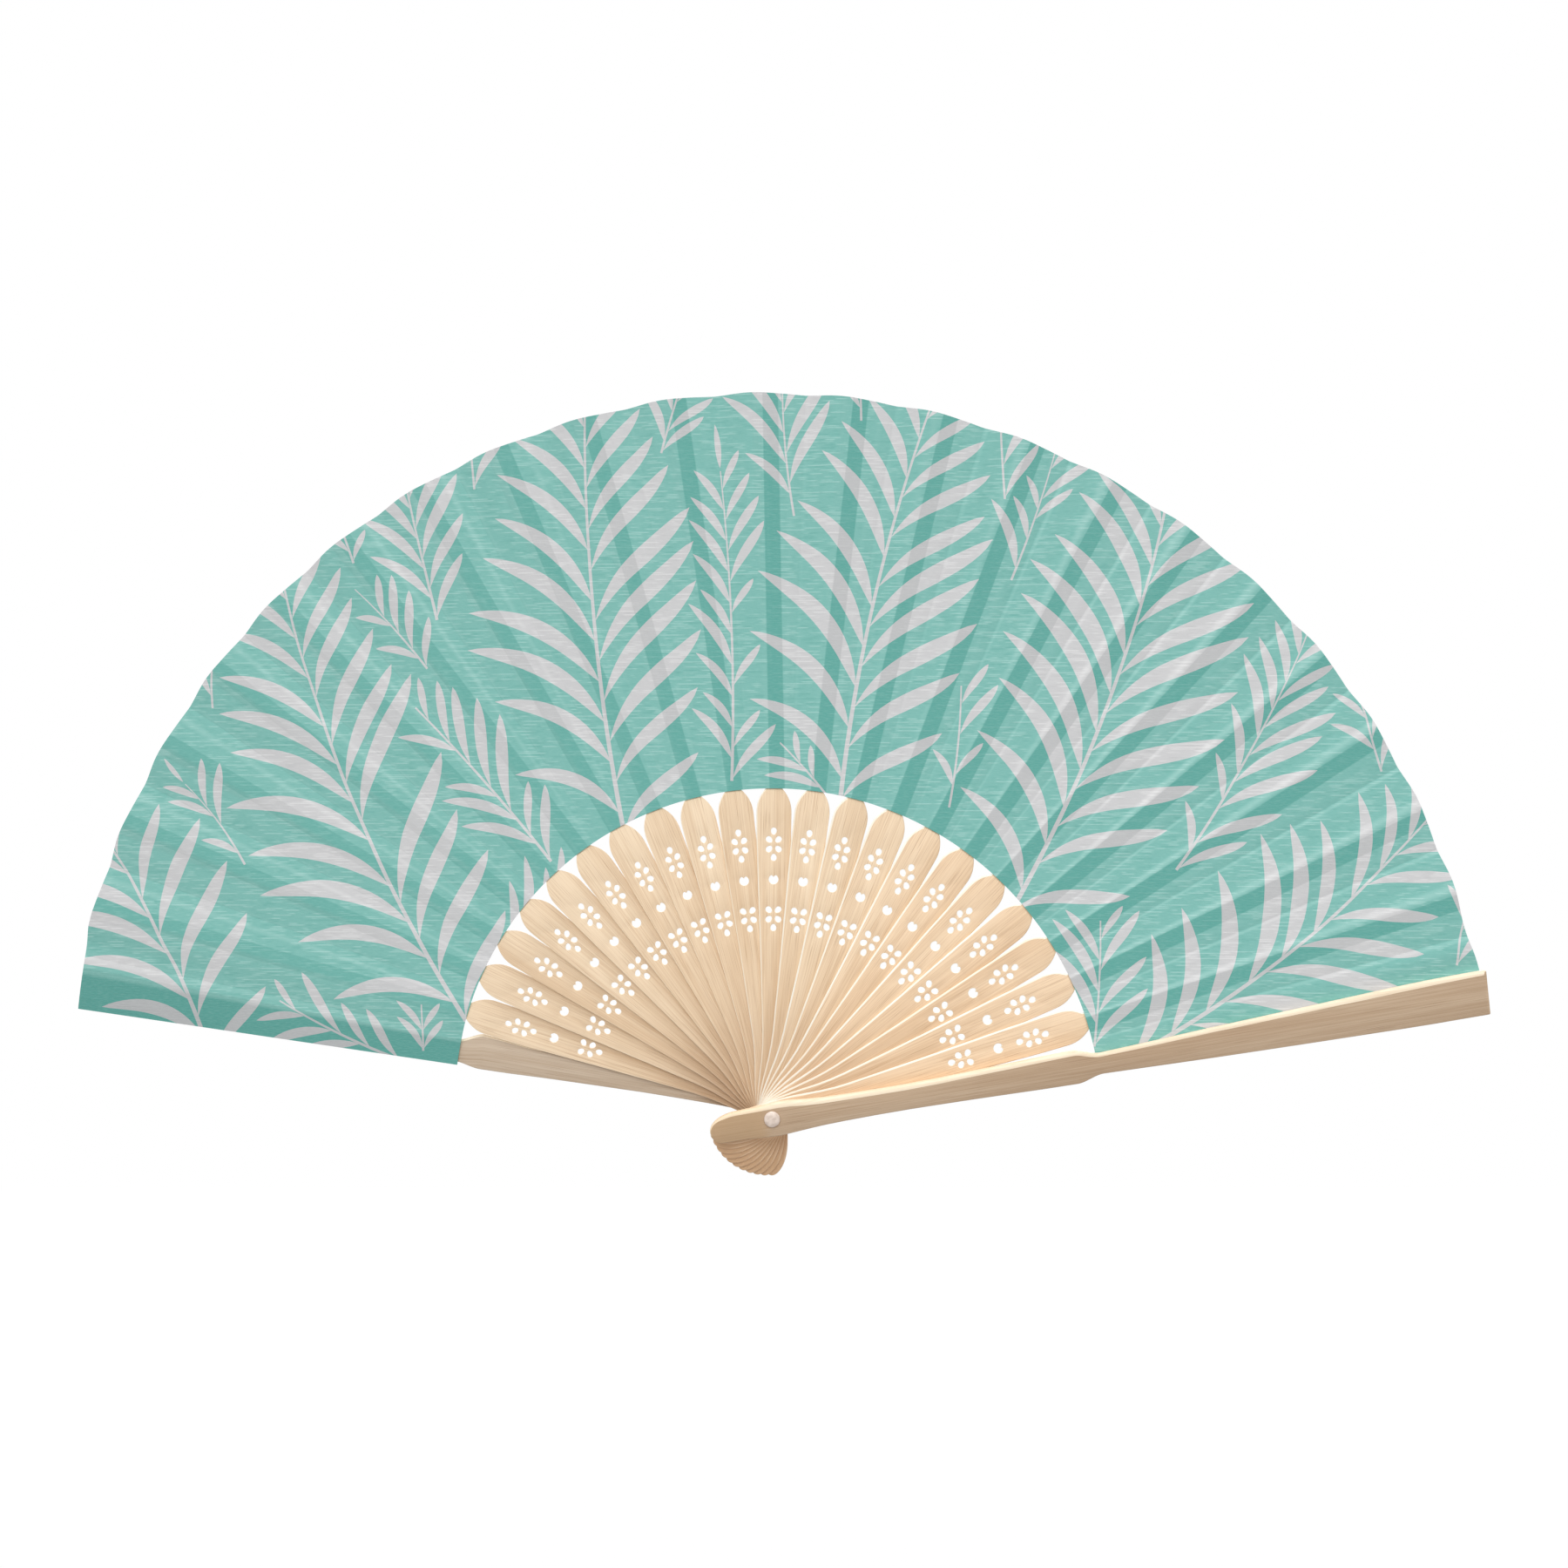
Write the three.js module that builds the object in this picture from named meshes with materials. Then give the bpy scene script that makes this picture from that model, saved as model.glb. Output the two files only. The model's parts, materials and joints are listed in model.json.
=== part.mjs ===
// A folding hand fan, held upright and spread open, seen from its front along +Y.
// Bamboo sticks turn on one plastic rivet between two guards and carry a pleated cloth leaf.
// The origin is the middle of the rivet. X runs to the right, Z up, and the rivet lies along Y.
// Each piece is drawn in its own flat frame: u runs along the stick from the rivet, v across it
// and w towards the viewer. The last group stands that drawing upright.
import * as THREE from 'three';

// How the fan opens, in degrees
const stickCount = 21;
const frontGuardAngle = 9.73; // the front guard above the X axis
const gapAngle = 7.27; // from one stick to the next
const lastGapAngle = 7.9; // from the last stick to the back guard

// Reach from the rivet, in millimetres
const leafInnerRadius = 95.8;
const leafOuterRadius = 211.5;
const guardReach = 211.3;
const guardButtReach = 18.6;
const stickButtReach = 18.4; // the sticks on the right half end in a long butt
const ribEndInset = 5.5; // a rib ends this far inside the leaf's outer edge

// Stick, across and in depth
const stickPivotWidth = 9.2;
const stickShoulderWidth = 10.2;
const neckWidth = 4.9;
const ribTipWidth = 4.3;
const shoulderRun = 7.5; // from the widest place of a stick to its neck
const stickThickness = 0.8;
const ribThickness = 0.45;
const runningGap = 0.1; // between neighbouring layers on the rivet
const ribTwist = 6.8; // degrees that a rib's tip lies over with its pleat
const ribSkew = 1.3; // degrees that a rib runs off its blade's axis, towards the back guard

// Guard, across and in depth: its edge on the leaf's side and its outer edge
const guardPivotTop = 4.2;
const guardPivotBottom = 4.9;
const guardShoulderTop = 3.1;
const guardShoulderBottom = 5.1;
const bladeRootTop = 1.8;
const bladeRootBottom = 3.5;
const bladeTipTop = 6.1;
const bladeTipBottom = 5.2;
const guardShoulderRun = 8.5;
const guardThickness = 3;
const bladeRelief = 1.1; // the blade's inner face is cut back to leave room for the folded leaf
const guardRound = 0.9; // rounding along the outer edges

// Rivet
const pinRadius = 1.5;
const pinClearance = 0.2;
const headRadius = 2.32;
const headHeight = 1.2;
const headRimShare = 0.25; // of the head's height, standing straight up at its rim
const headSeatGap = 0.05;

// Leaf
const leafThickness = 0.3;
const leafSeatGap = 0.15; // glue line between the leaf and a rib or blade
const seamGap = 0.3; // between the leaf's fields where two meet on a rib
const leafColumns = 8;
const leafRows = 4;

// Pierced ornament, measured in from the stick's widest place
const outerBlossomInset = 9;
const crescentInset = 19.4;
const innerBlossomInset = 29.75;
const blossomReach = 3.88; // the two petals on the stick's axis
const blossomPairAlong = 1.38;
const blossomPairAcross = 1.36;
const petalLength = 2.05;
const petalWidth = 1.65;
const petalSides = 6;
const crescentRadius = 1.4;
const crescentNotch = 0.75;
const crescentSides = 9;

// Worked out from the dimensions above
const layerPitch = stickThickness + runningGap;
const stackHalf = ((stickCount - 1) * layerPitch + stickThickness) / 2 + runningGap;
const guardOuterDepth = stackHalf + guardThickness;
const bladeDepth = stackHalf + bladeRelief;
const holeRadius = pinRadius + pinClearance;
const shoulderRadius = leafInnerRadius - shoulderRun;
const ribReach = leafOuterRadius - ribEndInset;
const leafSeat = ribThickness / 2 + leafSeatGap + leafThickness / 2;
const foldHalf = THREE.MathUtils.degToRad(gapAngle) * leafInnerRadius / 2;
const middleStick = (stickCount + 1) / 2;

const xAxis = new THREE.Vector3(1, 0, 0);
const lerp = THREE.MathUtils.lerp;
const toRadians = THREE.MathUtils.degToRad;
const share = (value, low, high) => THREE.MathUtils.clamp((value - low) / (high - low), 0, 1);
const smooth = (t) => t * t * (3 - 2 * t);

// Materials
const finish = (color, roughness) => new THREE.MeshStandardMaterial({ color, roughness, metalness: 0 });
const stickBamboo = () => finish(0xe3c7a0, 0.6);
const guardBamboo = () => finish(0xc8ab86, 0.6);
const leafCloth = () => finish(0x7dbdb2, 0.75);
const rivetPlastic = () => finish(0xeadfd9, 0.35);

// Angle of every stick, front guard first and back guard last
function openAngle(index) {
  if (index > stickCount) return frontGuardAngle + stickCount * gapAngle + lastGapAngle;
  return frontGuardAngle + index * gapAngle;
}

// Height of a stick's middle towards the viewer
function layerHeight(index) {
  return (middleStick - index) * layerPitch;
}

// How far a rib leans over with its pleat at a radius, as a slope
function leanAt(radius) {
  return Math.tan(toRadians(ribTwist)) * share(radius, leafInnerRadius, leafOuterRadius);
}

// How far a rib's middle is off its blade's axis at a radius
function sideAt(radius) {
  return Math.tan(toRadians(ribSkew)) * Math.max(0, radius - leafInnerRadius);
}

function circlePoints(radius, count, start, sweep, centreU = 0) {
  const points = [];
  for (let i = 0; i <= count; i += 1) {
    const angle = start + sweep * i / count;
    points.push(new THREE.Vector2(centreU + radius * Math.cos(angle), radius * Math.sin(angle)));
  }
  return points;
}

function pinHole() {
  return circlePoints(holeRadius, 12, 0, 2 * Math.PI).slice(0, -1);
}

// One petal, drawn out along its own direction
function petalHole(u, v, direction) {
  const points = [];
  for (let i = 0; i < petalSides; i += 1) {
    const turn = 2 * Math.PI * i / petalSides;
    const point = new THREE.Vector2(petalLength / 2 * Math.cos(turn), petalWidth / 2 * Math.sin(turn));
    points.push(point.rotateAround(new THREE.Vector2(), direction).add(new THREE.Vector2(u, v)));
  }
  return points;
}

// A round hole with a notch on the side towards the leaf
function crescentHole(u) {
  const points = [];
  for (let i = 0; i < crescentSides; i += 1) {
    const turn = 2 * Math.PI * i / crescentSides;
    const radius = i === 0 ? crescentRadius - crescentNotch : crescentRadius;
    points.push(new THREE.Vector2(u + radius * Math.cos(turn), radius * Math.sin(turn)));
  }
  return points;
}

// Blossoms of two pairs of petals, with one more at the inner end and, on the outer one, at the outer end
function piercings() {
  const holes = [crescentHole(shoulderRadius - crescentInset)];
  for (const [inset, ends] of [[outerBlossomInset, [-1, 1]], [innerBlossomInset, [-1]]]) {
    const centre = shoulderRadius - inset;
    for (const along of [-1, 1]) {
      for (const across of [-1, 1]) {
        const direction = Math.atan2(across, along);
        holes.push(petalHole(centre + along * blossomPairAlong, across * blossomPairAcross, direction));
      }
    }
    for (const end of ends) holes.push(petalHole(centre + end * blossomReach, 0, 0));
  }
  return holes;
}

// The solid between rings of points that stack from its back face to its front face. Up to the first
// pair the outline is a flat body with the holes in it; from there on its points face each other in pairs.
function plateGeometry(rings, holes, firstPair) {
  const count = rings[0].length;
  const points = rings.flat();
  const faces = [];
  const wall = (lower, upper, length) => {
    for (let i = 0; i < length; i += 1) {
      const next = (i + 1) % length;
      faces.push([lower + i, lower + next, upper + next], [lower + i, upper + next, upper + i]);
    }
  };
  for (let ring = 0; ring < rings.length - 1; ring += 1) wall(ring * count, (ring + 1) * count, count);
  const frontBase = (rings.length - 1) * count;
  const body = [...Array(firstPair + 1).keys(), count - 1];
  const backLookup = [...body];
  const frontLookup = body.map((i) => frontBase + i);
  for (const hole of holes) {
    const start = points.length;
    for (const height of [rings[0][0].z, rings.at(-1)[0].z]) {
      points.push(...hole.map((point) => new THREE.Vector3(point.x, point.y, height)));
    }
    wall(start + hole.length, start, hole.length);
    hole.forEach((point, i) => backLookup.push(start + i));
    hole.forEach((point, i) => frontLookup.push(start + hole.length + i));
  }
  const flat = body.map((i) => new THREE.Vector2(rings[0][i].x, rings[0][i].y));
  for (const [a, b, c] of THREE.ShapeUtils.triangulateShape(flat, holes)) {
    faces.push([frontLookup[a], frontLookup[b], frontLookup[c]]);
    faces.push([backLookup[a], backLookup[c], backLookup[b]]);
  }
  for (let left = firstPair, right = count - 1; right - left > 1; left += 1, right -= 1) {
    const strip = [[left, left + 1, right]];
    if (right - left > 2) strip.push([left + 1, right - 1, right]);
    for (const [a, b, c] of strip) faces.push([frontBase + a, frontBase + b, frontBase + c], [a, c, b]);
  }
  return closedGeometry(points.flatMap((point) => point.toArray()), faces.flat());
}

function closedGeometry(vertices, indices) {
  const geometry = new THREE.BufferGeometry();
  geometry.setAttribute('position', new THREE.Float32BufferAttribute(vertices, 3));
  geometry.setIndex(indices);
  geometry.computeVertexNormals();
  return geometry;
}

// Half of a stick's outline past its body: round shoulder, slim rib and rib tip, with v above 0
function stickEdge() {
  const edge = [];
  const shoulderSteps = 4;
  for (let i = 0; i <= shoulderSteps; i += 1) {
    const turn = Math.PI / 2 * i / shoulderSteps;
    const u = shoulderRadius + shoulderRun * Math.sin(turn);
    edge.push(new THREE.Vector2(u, lerp(neckWidth, stickShoulderWidth, Math.cos(turn)) / 2));
  }
  const ribSteps = 5;
  const tipStart = ribReach - ribTipWidth / 2;
  for (let i = 1; i < ribSteps; i += 1) {
    const t = i / ribSteps;
    edge.push(new THREE.Vector2(lerp(leafInnerRadius, tipStart, t), lerp(neckWidth, ribTipWidth, t) / 2));
  }
  return edge.concat(circlePoints(ribTipWidth / 2, 3, Math.PI / 2, -Math.PI / 2, tipStart));
}

// A flat pierced blade that thins past its shoulder into a slim rib, which lies over with its pleat
function stickGeometry(buttReach) {
  const half = stickPivotWidth / 2;
  const butt = circlePoints(half, 8, Math.PI / 2, Math.PI, half - buttReach);
  const edge = stickEdge();
  const below = edge.map((point) => new THREE.Vector2(point.x, -point.y));
  const outline = [...butt, ...below, ...edge.slice(0, -1).reverse()];
  const rings = [-0.5, 0.5].map((side) => outline.map(({ x: u, y: v }) => {
    const w = side * lerp(stickThickness, ribThickness, share(u, shoulderRadius, leafInnerRadius));
    const point = new THREE.Vector3(0, v, w).applyAxisAngle(xAxis, Math.atan(leanAt(u)));
    return point.add(new THREE.Vector3(u, sideAt(u), 0));
  }));
  return plateGeometry(rings, [pinHole(), ...piercings()], butt.length);
}

// Distance from a guard's axis to its edge on the leaf's side (top) or to its outer edge, past its body
function guardEdge(u, top) {
  const shoulder = top ? guardShoulderTop : guardShoulderBottom;
  const root = top ? bladeRootTop : bladeRootBottom;
  const tip = top ? bladeTipTop : bladeTipBottom;
  const shoulderStart = leafInnerRadius - guardShoulderRun;
  if (u < leafInnerRadius) return lerp(shoulder, root, smooth(share(u, shoulderStart, leafInnerRadius)));
  return lerp(root, tip, share(u, leafInnerRadius, guardReach));
}

// Both edges of a guard past its body, from its shoulder to its tip
function guardStations() {
  const stations = [];
  const shoulderSteps = 5;
  for (let i = 0; i <= shoulderSteps; i += 1) {
    stations.push(leafInnerRadius - guardShoulderRun + guardShoulderRun * i / shoulderSteps);
  }
  return [...stations, lerp(leafInnerRadius, guardReach, 0.5), guardReach - guardRound];
}

// The outline moved inwards by a distance, square to its own edge at each point
function insetOutline(outline, distance) {
  return outline.map((point, i) => {
    const before = outline[(i + outline.length - 1) % outline.length];
    const after = outline[(i + 1) % outline.length];
    const along = after.clone().sub(before).normalize();
    return new THREE.Vector2(point.x - along.y * distance, point.y + along.x * distance);
  });
}

// A guard: flat inside with its blade cut back, and rounded along the outer face
function guardGeometry(side, buttReach) {
  const half = (guardPivotTop + guardPivotBottom) / 2;
  const middle = (guardPivotTop - guardPivotBottom) / 2;
  const butt = circlePoints(half, 10, Math.PI / 2, Math.PI, half - buttReach);
  for (const point of butt) point.y += middle;
  const stations = guardStations();
  const edge = (top) => [
    ...stations.map((u) => new THREE.Vector2(u, guardEdge(u, top))),
    new THREE.Vector2(guardReach, guardEdge(guardReach, top) - guardRound),
  ];
  const below = edge(false).map((point) => new THREE.Vector2(point.x, -point.y));
  const outline = [...butt, ...below, ...edge(true).reverse()];
  const innerFace = outline.map((point) => {
    const cut = smooth(share(point.x, leafInnerRadius - guardShoulderRun, leafInnerRadius));
    return new THREE.Vector3(point.x, point.y, bladeRelief * cut);
  });
  const rings = [innerFace];
  const roundSteps = 3;
  for (let i = 0; i <= roundSteps; i += 1) {
    const turn = Math.PI / 2 * i / roundSteps;
    const height = guardThickness - guardRound * (1 - Math.sin(turn));
    const loop = insetOutline(outline, guardRound * (1 - Math.cos(turn)));
    rings.push(loop.map((point) => new THREE.Vector3(point.x, point.y, height)));
  }
  return plateGeometry(rings, [pinHole()], butt.length).rotateX(side > 0 ? 0 : Math.PI);
}

// Where one field of the leaf starts or ends: its height there, and whether it lies on a rib or on a blade
function leafEnd(index) {
  if (index === 0) return { height: bladeDepth - leafSeatGap - leafThickness / 2, onRib: 0 };
  if (index > stickCount) return { height: -bladeDepth + leafSeatGap + leafThickness / 2, onRib: 0 };
  return { height: layerHeight(index) + leafSeat, onRib: 1 };
}

// One field of the leaf, from one rib to the next: a mountain fold beyond the first rib and a valley
// fold before the second, deeper towards the outer edge. The end fields also cover the guards' blades.
function leafGeometry(index) {
  const from = leafEnd(index - 1);
  const to = leafEnd(index);
  const sweep = toRadians(openAngle(index) - openAngle(index - 1));
  const vertices = [];
  for (const face of [1, -1]) {
    for (let row = 0; row <= leafRows; row += 1) {
      const radius = lerp(leafInnerRadius, leafOuterRadius, row / leafRows);
      const width = radius * sweep;
      const ribSide = sideAt(radius);
      const start = index === 1 ? -guardEdge(radius, false) : ribSide + seamGap / 2;
      const end = index > stickCount ? width + guardEdge(radius, false) : width + ribSide - seamGap / 2;
      for (let column = 0; column <= leafColumns; column += 1) {
        const along = lerp(start, end, column / leafColumns);
        const turn = smooth(share(along, width / 2 - foldHalf, width / 2 + foldHalf));
        const lean = leanAt(radius) * lerp(from.onRib, to.onRib, turn);
        const height = lerp(from.height, to.height, turn) + lean * (along - width * turn - ribSide);
        const angle = along / radius;
        vertices.push(radius * Math.cos(angle), radius * Math.sin(angle), height + face * leafThickness / 2);
      }
    }
  }
  return closedGeometry(vertices, gridIndices(leafRows, leafColumns));
}

// Triangles of a slab whose front and back grids have the same rows and columns
function gridIndices(rows, columns) {
  const stride = columns + 1;
  const back = (rows + 1) * stride;
  const indices = [];
  const quad = (a, b, c, d) => indices.push(a, b, c, a, c, d);
  for (let row = 0; row < rows; row += 1) {
    for (let column = 0; column < columns; column += 1) {
      const at = row * stride + column;
      quad(at, at + stride, at + stride + 1, at + 1);
      quad(back + at, back + at + 1, back + at + stride + 1, back + at + stride);
    }
  }
  for (let column = 0; column < columns; column += 1) {
    const last = rows * stride + column;
    quad(column, column + 1, back + column + 1, back + column);
    quad(last, back + last, back + last + 1, last + 1);
  }
  for (let row = 0; row < rows; row += 1) {
    const first = row * stride;
    const last = first + columns;
    quad(first, back + first, back + first + stride, first + stride);
    quad(last, last + stride, back + last + stride, back + last);
  }
  return indices;
}

// Domed rivet head, its flat side on w = 0
function headGeometry() {
  const profile = [new THREE.Vector2(0, 0), new THREE.Vector2(headRadius, 0)];
  const steps = 4;
  for (let i = 1; i <= steps; i += 1) {
    const turn = Math.PI / 2 * i / steps;
    const radius = i === steps ? 0 : headRadius * Math.cos(turn);
    profile.push(new THREE.Vector2(radius, lerp(headRimShare, 1, Math.sin(turn)) * headHeight));
  }
  return new THREE.LatheGeometry(profile, 16).rotateX(Math.PI / 2);
}

const fan = new THREE.Group();
fan.rotation.x = Math.PI / 2;

function add(name, geometry, material, angle, height) {
  const mesh = new THREE.Mesh(geometry, material);
  mesh.name = name;
  mesh.rotation.z = toRadians(angle);
  mesh.position.z = height;
  fan.add(mesh);
  return mesh;
}

const numbered = (word, index) => `${word}_${String(index).padStart(2, '0')}`;

const backGuardHead = (guardPivotTop + guardPivotBottom) / 2;
add('front_guard', guardGeometry(1, guardButtReach), guardBamboo(), openAngle(0), stackHalf);
add('back_guard', guardGeometry(-1, backGuardHead), guardBamboo(), openAngle(stickCount + 1), -stackHalf);

for (let index = 1; index <= stickCount; index += 1) {
  const buttReach = index <= middleStick ? stickButtReach : stickPivotWidth / 2;
  add(numbered('stick', index), stickGeometry(buttReach), stickBamboo(), openAngle(index), layerHeight(index));
}

for (let index = 1; index <= stickCount + 1; index += 1) {
  add(numbered('leaf', index), leafGeometry(index), leafCloth(), openAngle(index - 1), 0);
}

const headSeat = guardOuterDepth + headSeatGap;
const pin = new THREE.CylinderGeometry(pinRadius, pinRadius, 2 * headSeat, 16).rotateX(Math.PI / 2);
add('rivet_pin', pin, rivetPlastic(), 0, 0);
add('rivet_head_front', headGeometry(), rivetPlastic(), 0, headSeat);
add('rivet_head_back', headGeometry(), rivetPlastic(), 0, -headSeat).rotation.x = Math.PI;

export default fan;
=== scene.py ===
import json
import math
import random

import bpy
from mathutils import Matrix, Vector
from mathutils.geometry import delaunay_2d_cdt


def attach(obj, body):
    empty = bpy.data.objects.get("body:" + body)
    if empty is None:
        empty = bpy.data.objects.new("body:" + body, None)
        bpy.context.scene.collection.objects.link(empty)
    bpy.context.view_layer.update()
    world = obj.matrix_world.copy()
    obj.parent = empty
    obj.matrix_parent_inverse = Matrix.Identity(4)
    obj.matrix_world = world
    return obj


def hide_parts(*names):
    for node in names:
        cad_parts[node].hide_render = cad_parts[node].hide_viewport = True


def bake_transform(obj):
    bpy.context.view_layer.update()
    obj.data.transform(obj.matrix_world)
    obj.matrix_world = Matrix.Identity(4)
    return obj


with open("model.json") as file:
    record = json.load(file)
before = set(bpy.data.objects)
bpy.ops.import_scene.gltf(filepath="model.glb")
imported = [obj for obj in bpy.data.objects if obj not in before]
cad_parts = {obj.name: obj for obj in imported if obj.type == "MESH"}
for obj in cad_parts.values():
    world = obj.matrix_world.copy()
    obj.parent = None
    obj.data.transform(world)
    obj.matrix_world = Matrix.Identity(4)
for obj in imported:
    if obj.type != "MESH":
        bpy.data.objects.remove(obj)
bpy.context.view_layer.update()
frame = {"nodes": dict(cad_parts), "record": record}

# The fan's own layout, in millimetres and degrees. A piece is drawn flat: u runs along it from the
# rivet, v across it towards the back guard and w towards the viewer.
fan = {
    "sticks": 21,
    "frontGuardAngle": 9.73,  # above the X axis
    "gapAngle": 7.27,  # from one stick to the next
    "lastGapAngle": 7.9,  # from the last stick to the back guard
    "leafInner": 95.8,
    "leafOuter": 211.5,
    "stickThickness": 0.8,
    "runningGap": 0.1,
    "ribTwist": 6.8,
    "ribSkew": 1.3,
    "holeRadius": 1.7,
}

layerPitch = fan["stickThickness"] + fan["runningGap"]
stackHalf = ((fan["sticks"] - 1) * layerPitch + fan["stickThickness"]) / 2 + fan["runningGap"]
gapSweep = math.radians(fan["gapAngle"])
foldHalf = gapSweep * fan["leafInner"] / 2
bodyNames = ["front_guard"] + [f"stick_{k:02d}" for k in range(1, fan["sticks"] + 1)] + ["back_guard"]


def lerp(a, b, t):
    return a + (b - a) * t


def share(value, low, high):
    return min(max((value - low) / (high - low), 0.0), 1.0)


def smooth(t):
    return t * t * (3 - 2 * t)


# The value at a place on a line of (place, value), eased before some of the places
def lineAt(points, at, rounded=()):
    for (low, before), (high, after) in zip(points, points[1:]):
        if at <= high:
            t = share(at, low, high)
            return lerp(before, after, smooth(t) if high in rounded else t)
    return points[-1][1]


def openAngle(index):  # radians
    if index > fan["sticks"]:
        return math.radians(fan["frontGuardAngle"] + fan["sticks"] * fan["gapAngle"] + fan["lastGapAngle"])
    return math.radians(fan["frontGuardAngle"] + index * fan["gapAngle"])


def layerHeight(index):
    return ((fan["sticks"] + 1) / 2 - index) * layerPitch


def leanAt(radius):  # how far a rib leans over with its pleat
    return math.tan(math.radians(fan["ribTwist"])) * share(radius, fan["leafInner"], fan["leafOuter"])


def sideAt(radius):  # how far a rib is off its blade's axis
    return math.tan(math.radians(fan["ribSkew"])) * max(0.0, radius - fan["leafInner"])


def stand(angle, u, v, w):  # from a flat piece to the upright fan, in metres
    c, s = math.cos(angle), math.sin(angle)
    return ((u * c - v * s) / 1000, -w / 1000, (u * s + v * c) / 1000)


def colour(red, green, blue):  # from screen values to the linear ones that a shader takes
    screen = (red / 255, green / 255, blue / 255)
    linear = [c / 12.92 if c <= 0.04045 else ((c + 0.055) / 1.055) ** 2.4 for c in screen]
    return (*linear, 1.0)


def grey(value):
    return (value, value, value, 1)


# Camera, lights and floor
studio = {
    "cameraPlace": (0.00345, -0.584, 0.0971),
    "lens": 45.306,
    "sunFrom": (-0.12, -0.56, 0.82),
    "sunStrength": 2.55,
    "sunSoftness": 80,  # degrees
    "fillFrom": (0.3, 0.8, 0.5),
    "fillStrength": 1.3,
    "fillSoftness": 40,
    "ambient": 0.44,
    "floorHeight": -0.33,
    "floorSize": 3.0,
    "floorShadow": 0.42,  # how pale the floor is in the light that it throws back
    "floorTone": 0.8,
    "floorGlow": 0.85,
}


def addSun(name, towards, strength, softness):
    lamp = bpy.data.lights.new(name, "SUN")
    lamp.energy = strength
    lamp.angle = math.radians(softness)
    holder = bpy.data.objects.new(name, lamp)
    holder.rotation_euler = Vector(towards).to_track_quat("Z", "Y").to_euler()
    bpy.context.scene.collection.objects.link(holder)


def addCamera():
    camera = bpy.data.cameras.new("camera")
    camera.lens = studio["lens"]
    camera.sensor_width = 36
    camera.clip_start = 0.01
    holder = bpy.data.objects.new("camera", camera)
    holder.location = studio["cameraPlace"]
    holder.rotation_euler = (math.radians(90), 0, 0)
    bpy.context.scene.collection.objects.link(holder)
    bpy.context.scene.camera = holder


bpy.context.scene.view_settings.view_transform = "Standard"
addCamera()
addSun("key", studio["sunFrom"], studio["sunStrength"], studio["sunSoftness"])
addSun("behind", studio["fillFrom"], studio["fillStrength"], studio["fillSoftness"])
print("camera and lamps placed")


# A socket that takes part in sums, so shader maths reads as an expression
class Wire:
    def __init__(self, paint, socket):
        self.paint = paint
        self.socket = socket

    def __add__(self, other):
        return self.paint.maths("ADD", self, other)

    def __radd__(self, other):
        return self.paint.maths("ADD", other, self)

    def __sub__(self, other):
        return self.paint.maths("SUBTRACT", self, other)

    def __rsub__(self, other):
        return self.paint.maths("SUBTRACT", other, self)

    def __mul__(self, other):
        return self.paint.maths("MULTIPLY", self, other)

    def __rmul__(self, other):
        return self.paint.maths("MULTIPLY", other, self)

    def out(self, name):
        return Wire(self.paint, self.socket.node.outputs[name])


class Paint:
    def __init__(self, tree):
        self.tree = tree
        self.tree.nodes.clear()

    def node(self, kind, settings=None, inputs=None):
        made = self.tree.nodes.new("ShaderNode" + kind)
        for key, value in (settings or {}).items():
            if key == "stops":
                ramp = made.color_ramp.elements
                while len(ramp) < len(value):
                    ramp.new(0.5)
                for stop, (place, tone) in zip(ramp, value):
                    stop.position = place
                    stop.color = grey(tone)
            else:
                setattr(made, key, value)
        for key, value in (inputs or {}).items():
            target = made.inputs[key] if isinstance(key, int) else self.find(made, key)
            if isinstance(value, Wire):
                self.tree.links.new(value.socket, target)
            else:
                target.default_value = value
        outputs = [socket for socket in made.outputs if socket.enabled]
        return Wire(self, outputs[0]) if outputs else made

    def find(self, made, key):
        return next(socket for socket in made.inputs if socket.enabled and socket.name == key)

    def maths(self, operation, *values):
        return self.node("Math", {"operation": operation}, dict(enumerate(values)))

    def mix(self, factor, a, b, blend="MIX"):
        settings = {"data_type": "RGBA", "blend_type": blend}
        return self.node("Mix", settings, {"Factor": factor, "A": a, "B": b})

    def uv(self, name, scale):  # a UV map stretched by a scale
        place = self.node("UVMap", {"uv_map": name})
        return self.node("VectorMath", {"operation": "MULTIPLY"}, {0: place, 1: (*scale, 1)})

    def axes(self, name):  # its X as it is, and its Y by out("Y")
        return self.node("SeparateXYZ", None, {0: self.uv(name, (1, 1))})

    def noise(self, place, detail):
        inputs = {"Vector": place, "Scale": 1, "Detail": detail}
        return self.node("TexNoise", {"noise_dimensions": "2D"}, inputs)

    def between(self, value, low, high, toLow=0.0, toHigh=1.0):  # eased from one range to another
        inputs = {"Value": value, "From Min": low, "From Max": high, "To Min": toLow, "To Max": toHigh}
        return self.node("MapRange", {"interpolation_type": "SMOOTHSTEP"}, inputs)


def newPaint(name):
    material = bpy.data.materials.new(name)
    material.use_nodes = True
    return material, Paint(material.node_tree)


def finishPaint(paint, inputs):
    body = paint.node("BsdfPrincipled", None, inputs)
    paint.node("OutputMaterial", None, {"Surface": body})


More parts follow.
